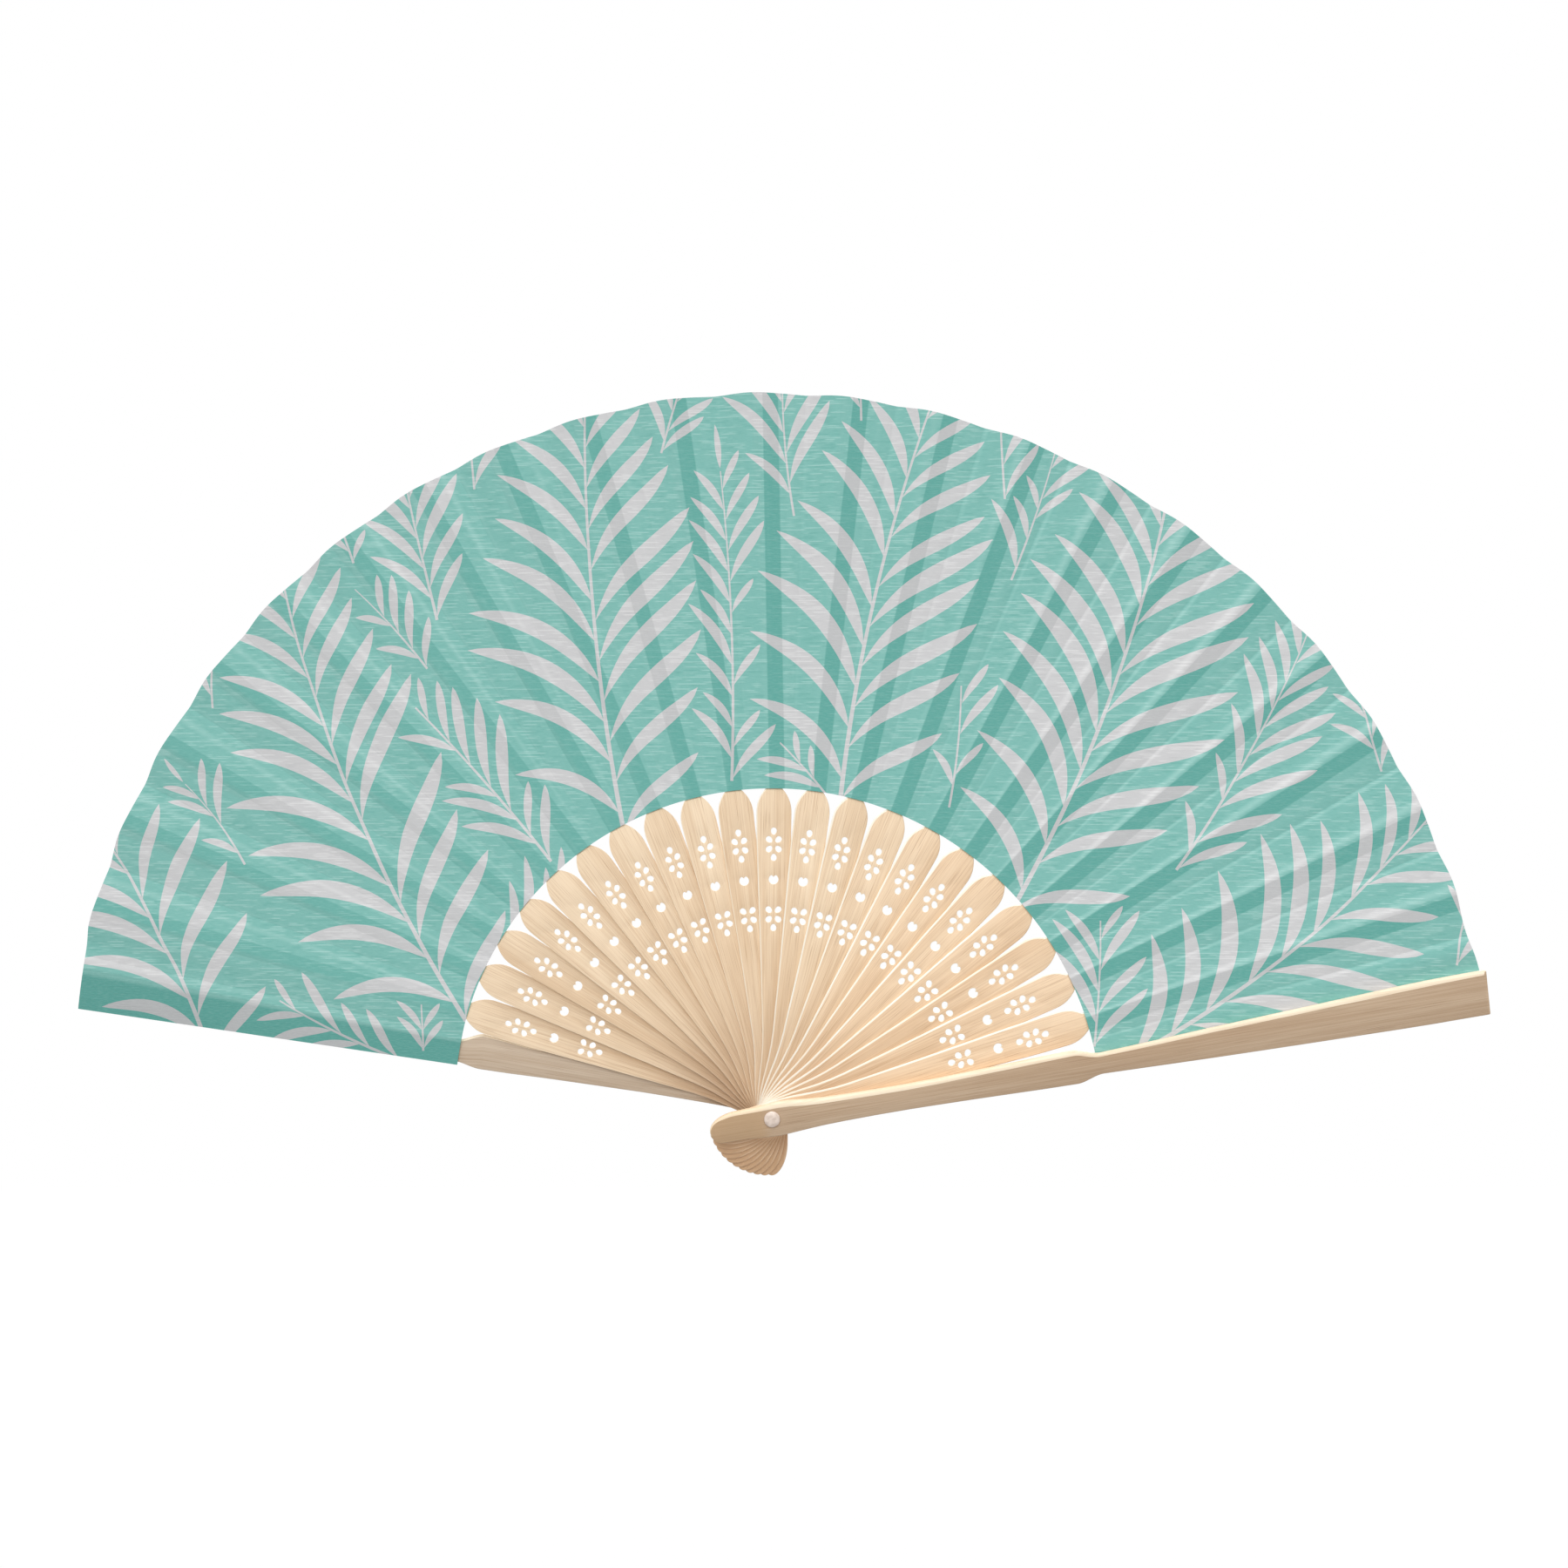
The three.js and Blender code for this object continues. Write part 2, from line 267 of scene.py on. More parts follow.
def addStage():
    world = bpy.data.worlds.new("studio")
    world.use_nodes = True
    bpy.context.scene.world = world
    paint = Paint(world.node_tree)
    rays = paint.node("LightPath")
    seen = paint.maths("MAXIMUM", rays.out("Is Camera Ray"), rays.out("Is Glossy Ray"))
    seen = paint.maths("MAXIMUM", seen, rays.out("Is Transmission Ray"))
    strength = seen * (1 - studio["ambient"]) + studio["ambient"]
    light = paint.node("Background", None, {"Color": grey(1), "Strength": strength})
    paint.node("OutputWorld", None, {"Surface": light})

    half = studio["floorSize"] / 2
    corners = [(-half, -half), (half, -half), (half, half), (-half, half)]
    mesh = bpy.data.meshes.new("floor")
    mesh.from_pydata([(x, y, studio["floorHeight"]) for x, y in corners], [], [(0, 1, 2, 3)])
    floor = bpy.data.objects.new("floor", mesh)
    bpy.context.scene.collection.objects.link(floor)
    material, paint = newPaint("pale floor")
    rays = paint.node("LightPath")
    seen = paint.maths("MAXIMUM", rays.out("Is Camera Ray"), rays.out("Is Glossy Ray"))
    shadow = paint.node("BsdfDiffuse", None, {"Color": grey(studio["floorShadow"])})
    tone = paint.node("BsdfDiffuse", None, {"Color": grey(studio["floorTone"])})
    glow = paint.node("Emission", None, {"Color": grey(1), "Strength": 1.0})
    shown = paint.node("MixShader", None, {0: studio["floorGlow"], 1: tone, 2: glow})
    both = paint.node("MixShader", None, {0: seen, 1: shadow, 2: shown})
    paint.node("OutputMaterial", None, {"Surface": both})
    mesh.materials.append(material)


addStage()
print("floor and backdrop made")


quarterTurn = (0, 0.52, 1.05, 1.571)  # the steps of a rounded edge, in radians


# Builds an object from points, faces and what each face needs
class Draft:
    def __init__(self):
        self.points = []
        self.faces = []
        self.slots = []
        self.rounded = []
        self.maps = {}

    def face(self, corners, slot, rounded, **maps):
        self.faces.append(corners)
        self.slots.append(slot)
        self.rounded.append(rounded)
        for name, values in maps.items():
            self.maps.setdefault(name, []).extend(c for value in values for c in value)

    def make(self, name, materials):
        mesh = bpy.data.meshes.new(name)
        mesh.from_pydata(self.points, [], self.faces)
        for mapName, values in self.maps.items():
            layer = mesh.uv_layers.new(name=mapName)
            layer.data.foreach_set("uv", values)
        for material in materials:
            mesh.materials.append(material)
        mesh.polygons.foreach_set("material_index", self.slots)
        mesh.polygons.foreach_set("use_smooth", self.rounded)
        mesh.set_sharp_from_angle(angle=math.radians(50))
        mesh.update()
        piece = bpy.data.objects.new(name, mesh)
        bpy.context.scene.collection.objects.link(piece)
        return piece


def arc(centre, radius, count, start, sweep):
    turns = [math.radians(start + sweep * i / count) for i in range(count + 1)]
    return [(centre[0] + radius * math.cos(t), centre[1] + radius * math.sin(t)) for t in turns]


sharpestTurn = 0.6  # keeps the corners of an inset loop from running away


def insetLoop(loop, distances):  # moved to its left, which is into the material
    moved = []
    for i, ((u, v), distance) in enumerate(zip(loop, distances)):
        here = Vector((u, v))
        before = (here - Vector(loop[i - 1])).normalized()
        after = (Vector(loop[(i + 1) % len(loop)]) - here).normalized()
        onward = (before + after).normalized()
        step = distance / max(onward.dot(after), sharpestTurn)
        moved.append((u - onward.y * step, v + onward.x * step))
    return moved


# A closed plate with holes. Its edges follow a profile of (inset, height) from the back to the front,
# warp puts each flat point in its place, and isPale says where the cut edge is paler than the face, with a
# painted highlight.
# How much painted shade it gets around the rivet (shade) and its tone (tint), whose dimming of the last
# sticks is painted shade too, go to its material as maps.
def plate(loops, profile, warp, isPale, grainOffset, shade, tint=(0.0, 0.0)):
    draft = Draft()
    backLoops, frontLoops = [], []

    def mapped(corners):
        return {
            "grain": [((u + grainOffset) / 100, (v + w) / 100) for _, u, v, w in corners],
            "place": [(u / 100, shade) for _, u, v, w in corners],
            "tint": [tint for _ in corners],
        }

    for number, loop in enumerate(loops):
        profiles = [profile(u, v, number > 0) for u, v in loop]
        rings = []
        for steps in zip(*profiles):
            ring = []
            for (u, v), (_, height) in zip(insetLoop(loop, [inset for inset, _ in steps]), steps):
                ring.append((len(draft.points), u, v, height))
                draft.points.append(warp(u, v, height))
            rings.append(ring)
        for lower, upper in zip(rings, rings[1:]):
            for i in range(len(loop)):
                j = (i + 1) % len(loop)
                corners = [lower[i], lower[j], upper[j], upper[i]]
                pale = number > 0 or isPale(lower[i][1], lower[i][2])
                draft.face([c[0] for c in corners], 1 if pale else 0, True, **mapped(corners))
        backLoops.append(rings[0])
        frontLoops.append(rings[-1])

    for capLoops, front in ((frontLoops, True), (backLoops, False)):
        flat, outlines, corners = [], [], []
        for loop in capLoops:
            outline = list(range(len(flat), len(flat) + len(loop)))
            outlines.append(outline[::-1] if outlines else outline)
            flat.extend(Vector((c[1], c[2])) for c in loop)
            corners.extend(loop)
        _, _, triangles, origins, _, owners = delaunay_2d_cdt(flat, [], outlines, 1, 1e-6)
        for triangle, owner in zip(triangles, owners):
            if list(owner) != [0]:
                continue
            found = [corners[origins[i][0]] for i in (triangle if front else reversed(triangle))]
            draft.face([c[0] for c in found], 0, False, **mapped(found))
    return draft


# How fine the bamboo's grain is, along and across, and where its tone changes, in 100 mm from the rivet
grain = {
    "fibre": (2.6, 560),
    "strand": (1.3, 190),
    "pore": (7, 480),
    "cloud": (0.9, 9),
    "parts": (0.45, 0.35, 0.5),  # of fibre, strand and cloud in the tone
    "toneRange": (0.42, 0.88),
    "poreRange": (0.62, 0.74),
    "outerRange": (0.45, 0.9),
    "buttRange": (0.0, -0.04),
    "fibreRange": (0.2, 0.8),
    "roughness": (0.62, 0.48),
    "bumpStrength": 0.35,
    "bumpHeight": 0.00006,  # in metres
}


# Bamboo: long fibres, fine dark pores and a slow change of tone from piece to piece
def bamboo(name, look):
    material, paint = newPaint(name)
    fibre = paint.noise(paint.uv("grain", grain["fibre"]), 3)
    strand = paint.noise(paint.uv("grain", grain["strand"]), 2)
    pore = paint.between(paint.noise(paint.uv("grain", grain["pore"]), 1), *grain["poreRange"])
    cloud = paint.noise(paint.uv("grain", grain["cloud"]), 2)
    place = paint.axes("place")
    outer = paint.between(place, *grain["outerRange"], 0, look["outerLift"])
    fibrePart, strandPart, cloudPart = grain["parts"]
    streaks = fibre * fibrePart + strand * strandPart + cloud * cloudPart
    tone = paint.between(streaks, *grain["toneRange"]) + outer
    base = paint.mix(tone, look["dark"], look["light"])
    base = paint.mix(pore * look["pores"], base, look["pore"])
    # painted shade around the rivet, more on the sticks at the left
    pivotShade = paint.between(place, *look["pivotShadeFrom"]) * place.out("Y")
    base = paint.mix(pivotShade, base, look["pivotShade"], "MULTIPLY")
    tint = paint.axes("tint")
    base = paint.mix(tint, base, look["warm"], "MULTIPLY")
    base = paint.mix(tint * -1, base, look["turned"], "MULTIPLY")
    # painted shade that dims the last sticks
    base = paint.mix(tint.out("Y"), base, look["dim"], "MULTIPLY")
    base = paint.mix(paint.between(place, *grain["buttRange"], 0, look["buttShare"]), base, look["butt"])
    side = paint.axes("grain").out("Y")
    # the step is in millimetres, from the stick before
    step = (side + place * look["overlapSlope"]) * 100 - look["overlapStart"]
    # painted shadow that the stick before casts beside its edge
    stickShadow = paint.between(step, *look["stickShadowEnd"]) * paint.between(step, *look["stickShadowStart"])
    stickShadow = stickShadow * paint.between(place, *look["stickShadowPlace"])
    base = paint.mix(stickShadow * place.out("Y"), base, look["stickShadowTone"], "MULTIPLY")
    under = (side + place * look["buttSlope"]) * 100 - look["buttOverlap"]  # and from the butt before
    # painted shadow that the butt before casts along its edge
    buttShadow = paint.between(under, *look["buttShadowWidth"]) * paint.between(place, *look["buttShadowPlace"])
    base = paint.mix(buttShadow, base, look["buttShadow"], "MULTIPLY")
    relief = {"Strength": grain["bumpStrength"], "Distance": grain["bumpHeight"]}
    relief["Height"] = fibre - pore * 0.5
    bump = paint.node("Bump", None, relief)
    rough = paint.between(fibre, *grain["fibreRange"], *grain["roughness"])
    finishPaint(paint, {"Base Color": base, "Roughness": rough, "Normal": bump})
    return material


stickLook = {
    "dark": colour(229, 197, 160),
    "light": colour(252, 228, 196),
    "pore": colour(196, 157, 118),
    "pores": 0.45,
    "outerLift": 0.25,  # how much paler it is towards the leaf
    "pivotShadeFrom": (0.48, 0.08),
    "pivotShade": (0.73, 0.67, 0.63, 1),  # painted shade, darker towards the rivet
    "warm": (1, 0.95, 0.91, 1),  # the tones of the sticks at the right, at the left and of the last ones; the last ones' dimming is painted shade
    "turned": (1, 1, 1, 1),
    "dim": (0.94, 0.93, 0.92, 1),
    "butt": colour(253, 216, 178),
    "buttShare": 0.75,
    # a painted shadow of the stick before, between two distances from it, and more so near the rivet
    "overlapSlope": 0.0926,
    "overlapStart": 2.8,
    "stickShadowStart": (-0.2, 0.9),
    "stickShadowEnd": (3.2, 1.4),
    "stickShadowPlace": (0.42, 0.2, 0.75, 1.4),
    "stickShadowTone": (0.9, 0.875, 0.85, 1),
    # and a painted shadow along the butt before
    "buttSlope": 0.1276,
    "buttOverlap": -4.6,
    "buttShadowWidth": (-0.9, 0.0),
    "buttShadowPlace": (-0.03, -0.07),
    "buttShadow": (0.78, 0.71, 0.63, 1),
}
# the paler cut edge with a painted highlight on it, made less pale on the sticks at the left, whose edges
# face away from the light
stickEdgeLook = {
    **stickLook,
    "dark": colour(252, 240, 218),
    "light": colour(255, 252, 240),
    "pore": colour(236, 210, 174),
    "pores": 0.2,
    "outerLift": 0.0,
    "warm": (1, 1, 1, 1),
    "turned": (1, 0.88, 0.76, 1),
    "butt": colour(244, 205, 166),
    "stickShadowTone": (1, 1, 1, 1),
}
guardLook = {
    **stickLook,
    "dark": colour(181, 151, 121),
    "light": colour(205, 180, 152),
    "pore": colour(158, 128, 99),
    "pores": 0.4,
    "outerLift": 0.0,
    # painted shade around the rivet, used on the back guard
    "pivotShadeFrom": (0.24, 0.13),
    "pivotShade": (0.74, 0.66, 0.58, 1),
    "butt": colour(190, 155, 114),
    "buttShare": 0.55,
    "stickShadowTone": (1, 1, 1, 1),
    "buttShadow": (1, 1, 1, 1),
}
# the paler cut edge of a guard with a painted highlight on it
guardEdgeLook = {
    **guardLook,
    "dark": colour(238, 217, 188),
    "light": colour(252, 238, 213),
    "pore": colour(222, 192, 154),
    "pores": 0.3,
    "butt": colour(240, 212, 176),
}
backGuardLook = {**guardLook, "dark": colour(186, 162, 136), "light": colour(210, 191, 169)}

stickFace = bamboo("bamboo stick face", stickLook)
stickEdge = bamboo("bamboo stick cut edge and painted highlight", stickEdgeLook)
guardFace = bamboo("bamboo guard face", guardLook)
backGuardFace = bamboo("bamboo back guard face", backGuardLook)
guardEdge = bamboo("bamboo guard cut edge and painted highlight", guardEdgeLook)
print("bamboo made")

stick = {
    "buttReach": 18.4,
    "pivotWidth": 9.2,
    # half its width from the rivet to the shoulder
    "halves": [(0, 4.6), (4, 4.55), (8, 4.3), (12, 3.85), (16, 3.4), (20, 3.15), (24, 3.12), (30, 3.3),
               (40, 3.6), (50, 3.95), (60, 4.35), (70, 4.75), (80, 5.1), (88.3, 5.2)],
    "shoulderWidth": 10.4,
    "neckWidth": 4.9,
    "ribTipWidth": 4.3,
    "ribThickness": 0.45,
    "shoulderRun": 7.5,
    "ribEndInset": 5.5,
    "rounding": (0.34, 0.05),  # of the edges of the sticks at the right, and of those at the left
    "paleSide": (0.5, 0.15),  # how wide the rounding, and the painted highlight on it, is on the side that shows
    "turnover": (9, 14),  # the sticks over which the one changes to the other
    "shoulderCurve": 2.4,
    "neckStep": 0.35,  # over which the blade thins to the rib, just before the leaf
    "neckClearance": 0.03,
    "holeRounding": 0.1,
    "mostRounding": 0.85,  # as a share of half the thickness
    "buttTaper": 9.5,  # length of the rounded end
    "lastLongButt": 11,
    "paleFrom": -6,  # the cut edge, from the rivet
    # how much painted shade each stick gets around the rivet, over which sticks they get warmer, and how much
    # painted shade dims each
    "shade": [(1, 0.52), (14, 0.62), (17, 0.77), (20, 1)],
    "warm": (9, 6),
    "dim": [(13, 0), (17, 0.5), (20, 1)],
    "grainStep": 737.0,  # from one stick's grain to the next one's
    "endPeak": 0.3,  # how far the middle of a rounded end stands out
    "outerBlossomInset": 9,
    "crescentInset": 19.4,
    "innerBlossomInset": 29.75,
    "blossomReach": 3.88,
    "pairAlong": 1.38,
    "pairAcross": 1.36,
    "petalLength": 2.05,
    "petalWidth": 1.65,
    "petalTaper": 0.16,
    "petalPoints": 16,
    "crescentRadius": 1.4,
    "crescentNotch": 0.75,
    "crescentPoints": 28,
    "pinPoints": 24,
    "shoulderPoints": 12,
    "ribPoints": 16,
    "tipPoints": 6,
    "endPoints": 28,
}


def petal(u, v, direction):  # clockwise, as every hole
    points = []
    for i in range(stick["petalPoints"]):
        turn = -2 * math.pi * i / stick["petalPoints"]
        a = stick["petalLength"] / 2 * math.cos(turn)
        b = stick["petalWidth"] / 2 * math.sin(turn) * (1 - stick["petalTaper"] * math.cos(turn))
        points.append((u + a * math.cos(direction) - b * math.sin(direction),
                       v + a * math.sin(direction) + b * math.cos(direction)))
    return points


def crescent(u):
    points = []
    for i in range(stick["crescentPoints"]):
        turn = -2 * math.pi * i / stick["crescentPoints"]
        notch = stick["crescentNotch"] * max(0.0, 1 - abs((turn + math.pi) % (2 * math.pi) - math.pi) / 0.5)
        radius = stick["crescentRadius"] - notch
        points.append((u + radius * math.cos(turn), radius * math.sin(turn)))
    return points


def piercings(shoulder):
    holes = [crescent(shoulder - stick["crescentInset"])]
    for inset, ends in ((stick["outerBlossomInset"], (-1, 1)), (stick["innerBlossomInset"], (-1,))):
        centre = shoulder - inset
        for along, across in ((-1, -1), (-1, 1), (1, -1), (1, 1)):
            direction = math.atan2(across, along) + math.pi
            holes.append(petal(centre + along * stick["pairAlong"], across * stick["pairAcross"], direction))
        for end in ends:
            holes.append(petal(centre + end * stick["blossomReach"], 0, math.pi if end > 0 else 0))
    return holes


def addStick(index):
    shoulder = fan["leafInner"] - stick["shoulderRun"]
    ribReach = fan["leafOuter"] - stick["ribEndInset"]
    tipStart = ribReach - stick["ribTipWidth"] / 2
    half = stick["pivotWidth"] / 2
    butt = stick["buttReach"] if index <= stick["lastLongButt"] else half
    edge = stick["halves"][:-1]
    shares = [i / stick["shoulderPoints"] for i in range(stick["shoulderPoints"])]
    for t in shares + [1 - stick["neckStep"] / stick["shoulderRun"], 1]:
        width = lerp(stick["shoulderWidth"], stick["neckWidth"], t ** stick["shoulderCurve"])
        edge.append((shoulder + stick["shoulderRun"] * t, width / 2))
    for i in range(1, stick["ribPoints"]):
        t = i / stick["ribPoints"]
        ribWidth = lerp(stick["neckWidth"], stick["ribTipWidth"], t)
        edge.append((lerp(fan["leafInner"], tipStart, t), ribWidth / 2))
    edge += arc((tipStart, 0), stick["ribTipWidth"] / 2, stick["tipPoints"], 90, -90)
    below = [(u, -v) for u, v in edge]
    endLength, peak = (half, 0) if butt == half else (stick["buttTaper"], stick["endPeak"])
    end = []
    for u, v in arc((0, 0), 1, stick["endPoints"], 90, 180):
        end.append((endLength - butt + u * endLength - peak * max(0, -u) ** 12, v * half))
    outline = end + below[1:] + edge[-2:0:-1]
    pin = arc((0, 0), fan["holeRadius"], stick["pinPoints"], 0, -360)[:-1]

    turned = share(index, *stick["turnover"])
    rounding, paleSide = lerp(*stick["rounding"], turned), lerp(*stick["paleSide"], turned)

    def profile(u, v, isHole):
        thin = share(u, fan["leafInner"] - stick["neckStep"], fan["leafInner"] - stick["neckClearance"])
        middle = lerp(fan["stickThickness"], stick["ribThickness"], thin) / 2
        bend = stick["holeRounding"] if isHole else min(rounding, stick["mostRounding"] * middle)
        reach = bend if isHole else lerp(bend, paleSide, share(v, 1, 2) * (1 - thin) * share(u, 0, 8))
        back = [(bend * (1 - math.cos(a)), bend * (1 - math.sin(a)) - middle) for a in reversed(quarterTurn)]
        return back + [(reach * (1 - math.cos(a)), middle - bend * (1 - math.sin(a))) for a in quarterTurn]

    angle = openAngle(index)
    height = layerHeight(index)

    def warp(u, v, w):
        lean = math.atan(leanAt(u))
        across = v * math.cos(lean) - w * math.sin(lean) + sideAt(u)
        return stand(angle, u, across, v * math.sin(lean) + w * math.cos(lean) + height)

    def isPale(u, v):
        return u > stick["paleFrom"] and v > 0

    shade = lineAt(stick["shade"], index)
    tint = (share(-index, -stick["warm"][0], -stick["warm"][1]) - turned, lineAt(stick["dim"], index))
    loops = [outline, pin] + piercings(shoulder)
    draft = plate(loops, profile, warp, isPale, index * stick["grainStep"], shade, tint)
    piece = draft.make(f"stick_{index:02d}_bamboo", [stickFace, stickEdge])
    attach(piece, bodyNames[index])
    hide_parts(f"stick_{index:02d}")


for index in range(1, fan["sticks"] + 1):
    addStick(index)
print("sticks made")

guard = {
    "reach": 211.25,
    "tipSlant": 0.85,  # how much shorter it is at the outer edge
    "buttReach": 18.4,
    "frontMiddle": -0.9,  # of the rounded end, from the axis
    "frontEnds": [(8.8, 4.7), (3, 3.65)],  # how long and how high its upper and lower quarter are
    "backMiddle": -0.35,
    "backEnds": [(4.55, 4.55), (4.55, 4.55)],
    # from the axis to the edge on the leaf's side (top), and to the outer edge (bottom)
    "frontTop": [(-9.6, 3.8), (-4, 4.0), (2, 4.5), (6, 4.35), (10, 3.9), (15, 3.5), (20, 3.35), (30, 3.2),
                 (40, 3.15), (50, 3.35), (60, 3.7), (70, 4.0), (80, 4.35), (89, 4.65), (97, 2.8), (110, 3.4),
                 (130, 4.5), (150, 5.4), (170, 6.35), (190, 7.3), (200, 7.55), (211.3, 7.6)],
    "frontBottom": [(-15.4, 4.55), (-8, 4.6), (-3, 4.95), (2, 5.2), (6, 4.9), (10, 4.6), (15, 4.3),
                    (20, 4.15), (30, 4.0), (40, 4.0), (50, 4.15), (60, 4.35), (70, 4.6), (80, 4.85),
                    (89, 5.0), (97, 3.3), (110, 3.65), (130, 4.2), (160, 4.8), (190, 5.3), (211.3, 5.3)],
    "backTop": [(0, 4.2), (20, 4.6), (75, 5.5), (82, 6.2), (89, 6.7), (97, 3.9), (120, 4.1), (211.3, 6.1)],
    "backBottom": [(0, 4.9), (5, 3.4), (10, 2.5), (15, 2.25), (20, 2.2), (30, 2.2), (40, 2.3), (50, 2.55),
                   (60, 2.8), (70, 3.1), (80, 3.5), (89, 3.7), (97, 2.7), (211.3, 5.0)],
    "shoulder": (89, 97),
    "reliefFrom": 87.3,
    "thickness": 3,
    "bladeRelief": 1.1,
    "rounding": 0.9,
    "innerRounding": 0.6,  # on the back guard's side that shows
    "innerLeast": 0.2,
    "holeRounding": 0.15,
    # how wide the rounding and its painted highlight are along the guard's top edge
    "paleSide": [(-17, 0.4), (-14, 0.9), (-4, 1.2), (2, 1.55), (10, 1.55), (20, 1.4), (89, 1.35), (97, 1.07),
                 (120, 1.2), (150, 1.4), (190, 1.65), (206, 1.45), (210.3, 1.3), (210.8, 0.25)],
    "plainSide": 0.25,
    "paleFrom": -1.5,
    "corner": 0.45,
    "cornerTurns": (0, 0.4, 0.8, 1.2, 1.571),
    "pinPoints": 32,
    "endPoints": 12,
    "shoulderPoints": 12,
    "bladePoints": 14,
    "stopSpacing": 8.1,
    "grainStart": 5000,
    "grainStep": 400,
}


def guardEdgeAt(u, name):
    return lineAt(guard[name], u, guard["shoulder"][1:])


def addGuard(index, side, butt):
    name = bodyNames[index]
    word = "front" if side > 0 else "back"
    low, high = guard["shoulder"]

    def edge(line, first, reach):
        stops = {u for u, _ in guard[line]} | {i * guard["stopSpacing"] for i in range(11)}
        stops = sorted(u for u in stops if first + 0.5 < u < low)
        stops += [lerp(low, high, i / guard["shoulderPoints"]) for i in range(guard["shoulderPoints"] + 1)]
        stops += [lerp(high, reach - 1, (i + 1) / guard["bladePoints"]) for i in range(guard["bladePoints"])]
        points = [(u, guardEdgeAt(u, line)) for u in stops]
        corner, tip = guard["corner"], guardEdgeAt(reach, line)
        for a in guard["cornerTurns"]:
            points.append((reach - corner * (1 - math.sin(a)), tip - corner * (1 - math.cos(a))))
        return points

    end = []
    for (length, height), start in zip(guard[word + "Ends"], (90, 180)):
        quarter = arc((0, 0), 1, guard["endPoints"], start, 90)[start > 90:]
        end += [(length - butt + length * u, guard[word + "Middle"] + height * v) for u, v in quarter]
    top = edge(word + "Top", end[0][0], guard["reach"])
    bottom = edge(word + "Bottom", end[-1][0], guard["reach"] - guard["tipSlant"])
    outline = end + [(u, -v) for u, v in bottom] + top[::-1]
    pin = arc((0, 0), fan["holeRadius"], guard["pinPoints"], 0, -360)[:-1]

    def profile(u, v, isHole):
        cut = guard["bladeRelief"] * smooth(share(u, guard["reliefFrom"], fan["leafInner"]))
        bend = reach = guard["holeRounding"]
        inner = guard["innerLeast"]
        if not isHole:
            bend = guard["rounding"]
            reach = lerp(guard["plainSide"], lineAt(guard["paleSide"], u), share(v, -1, 2))
        if not isHole and side < 0 and v >= 0:
            inner = lerp(inner, guard["innerRounding"], share(guard["reach"] - u, 1, 4))
        back = [(inner * (1 - math.cos(a)), cut + inner * (1 - math.sin(a))) for a in reversed(quarterTurn)]
        turns = [math.pi / 2 * i / 6 for i in range(7)]
        front = [(reach * (1 - math.cos(a)), guard["thickness"] - bend * (1 - math.sin(a))) for a in turns]
        return back + front

    angle = openAngle(index)

    def warp(u, v, w):
        return stand(angle, u, side * v, side * (stackHalf + w))

    def isPale(u, v):
        return v > guard["paleFrom"]

    grainOffset = guard["grainStart"] + index * guard["grainStep"]
    draft = plate([outline, pin], profile, warp, isPale, grainOffset, 0.0 if side > 0 else 1.0)
    piece = draft.make(name + "_bamboo", [guardFace if side > 0 else backGuardFace, guardEdge])
    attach(piece, name)
    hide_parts(name)


addGuard(0, 1, guard["buttReach"])
addGuard(fan["sticks"] + 1, -1, guard["backEnds"][0][0])
print("guards made")

rivet = {
    "headRadius": 2.32,
    "headHeight": 0.9,
    "rimShare": 0.2,
    "foot": [(-0.12, 0), (-0.03, 0.05), (0, 0.14)],  # its rounded lower edge: off the radius, and how high
    "fullness": 0.85,  # less is fuller
    "seatGap": 0.05,
    "pointsAround": 48,
    "domePoints": 12,
    "mottleScale": 900,
    "fineScale": 2600,
    "colour": colour(236, 219, 206),
    "shade": colour(217, 198, 184),
}


def rivetPlastic():
    material, paint = newPaint("pale moulded plastic")
    place = paint.node("NewGeometry").out("Position")
    mottle = paint.node("TexNoise", None, {"Vector": place, "Scale": rivet["mottleScale"], "Detail": 3})
    base = paint.mix(paint.between(mottle, 0.3, 0.7), rivet["shade"], rivet["colour"])
    fine = paint.node("TexNoise", None, {"Vector": place, "Scale": rivet["fineScale"], "Detail": 2})
    bump = paint.node("Bump", None, {"Strength": 0.3, "Distance": 0.00005, "Height": fine + mottle})
    rough = paint.between(fine, 0.2, 0.8, 0.3, 0.42)
    finishPaint(paint, {"Base Color": base, "Roughness": rough, "Normal": bump})
    return material


def addRivetHead(name, side, body, material):
    profile = [(0, 0)] + [(rivet["headRadius"] + off, height) for off, height in rivet["foot"]]
    for i in range(rivet["domePoints"] + 1):
        turn = math.pi / 2 * i / rivet["domePoints"]
        radius = rivet["headRadius"] * math.cos(turn) ** rivet["fullness"] if i < rivet["domePoints"] else 0
        profile.append((radius, lerp(rivet["rimShare"], 1, math.sin(turn)) * rivet["headHeight"]))
    draft = Draft()
    seat = stackHalf + guard["thickness"] + rivet["seatGap"]
    count = rivet["pointsAround"]
    rings = []
    for radius, height in profile:
        ring = []
        for i in range(count if radius > 0 else 1):
            turn = 2 * math.pi * i / count
            u, v = radius * math.cos(turn), side * radius * math.sin(turn)
            ring.append(len(draft.points))
            draft.points.append(stand(0, u, v, side * (seat + height)))
        rings.append(ring)
    for lower, upper in zip(rings, rings[1:]):
        for i in range(count):
            j = (i + 1) % count
            pairs = [(lower, i), (lower, j), (upper, j), (upper, i)]
            corners = [ring[spot % len(ring)] for ring, spot in pairs]  # a pole has one point only
            draft.face(list(dict.fromkeys(corners)), 0, True)
    piece = draft.make(name + "_dome", [material])
    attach(piece, body)
    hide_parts(name)


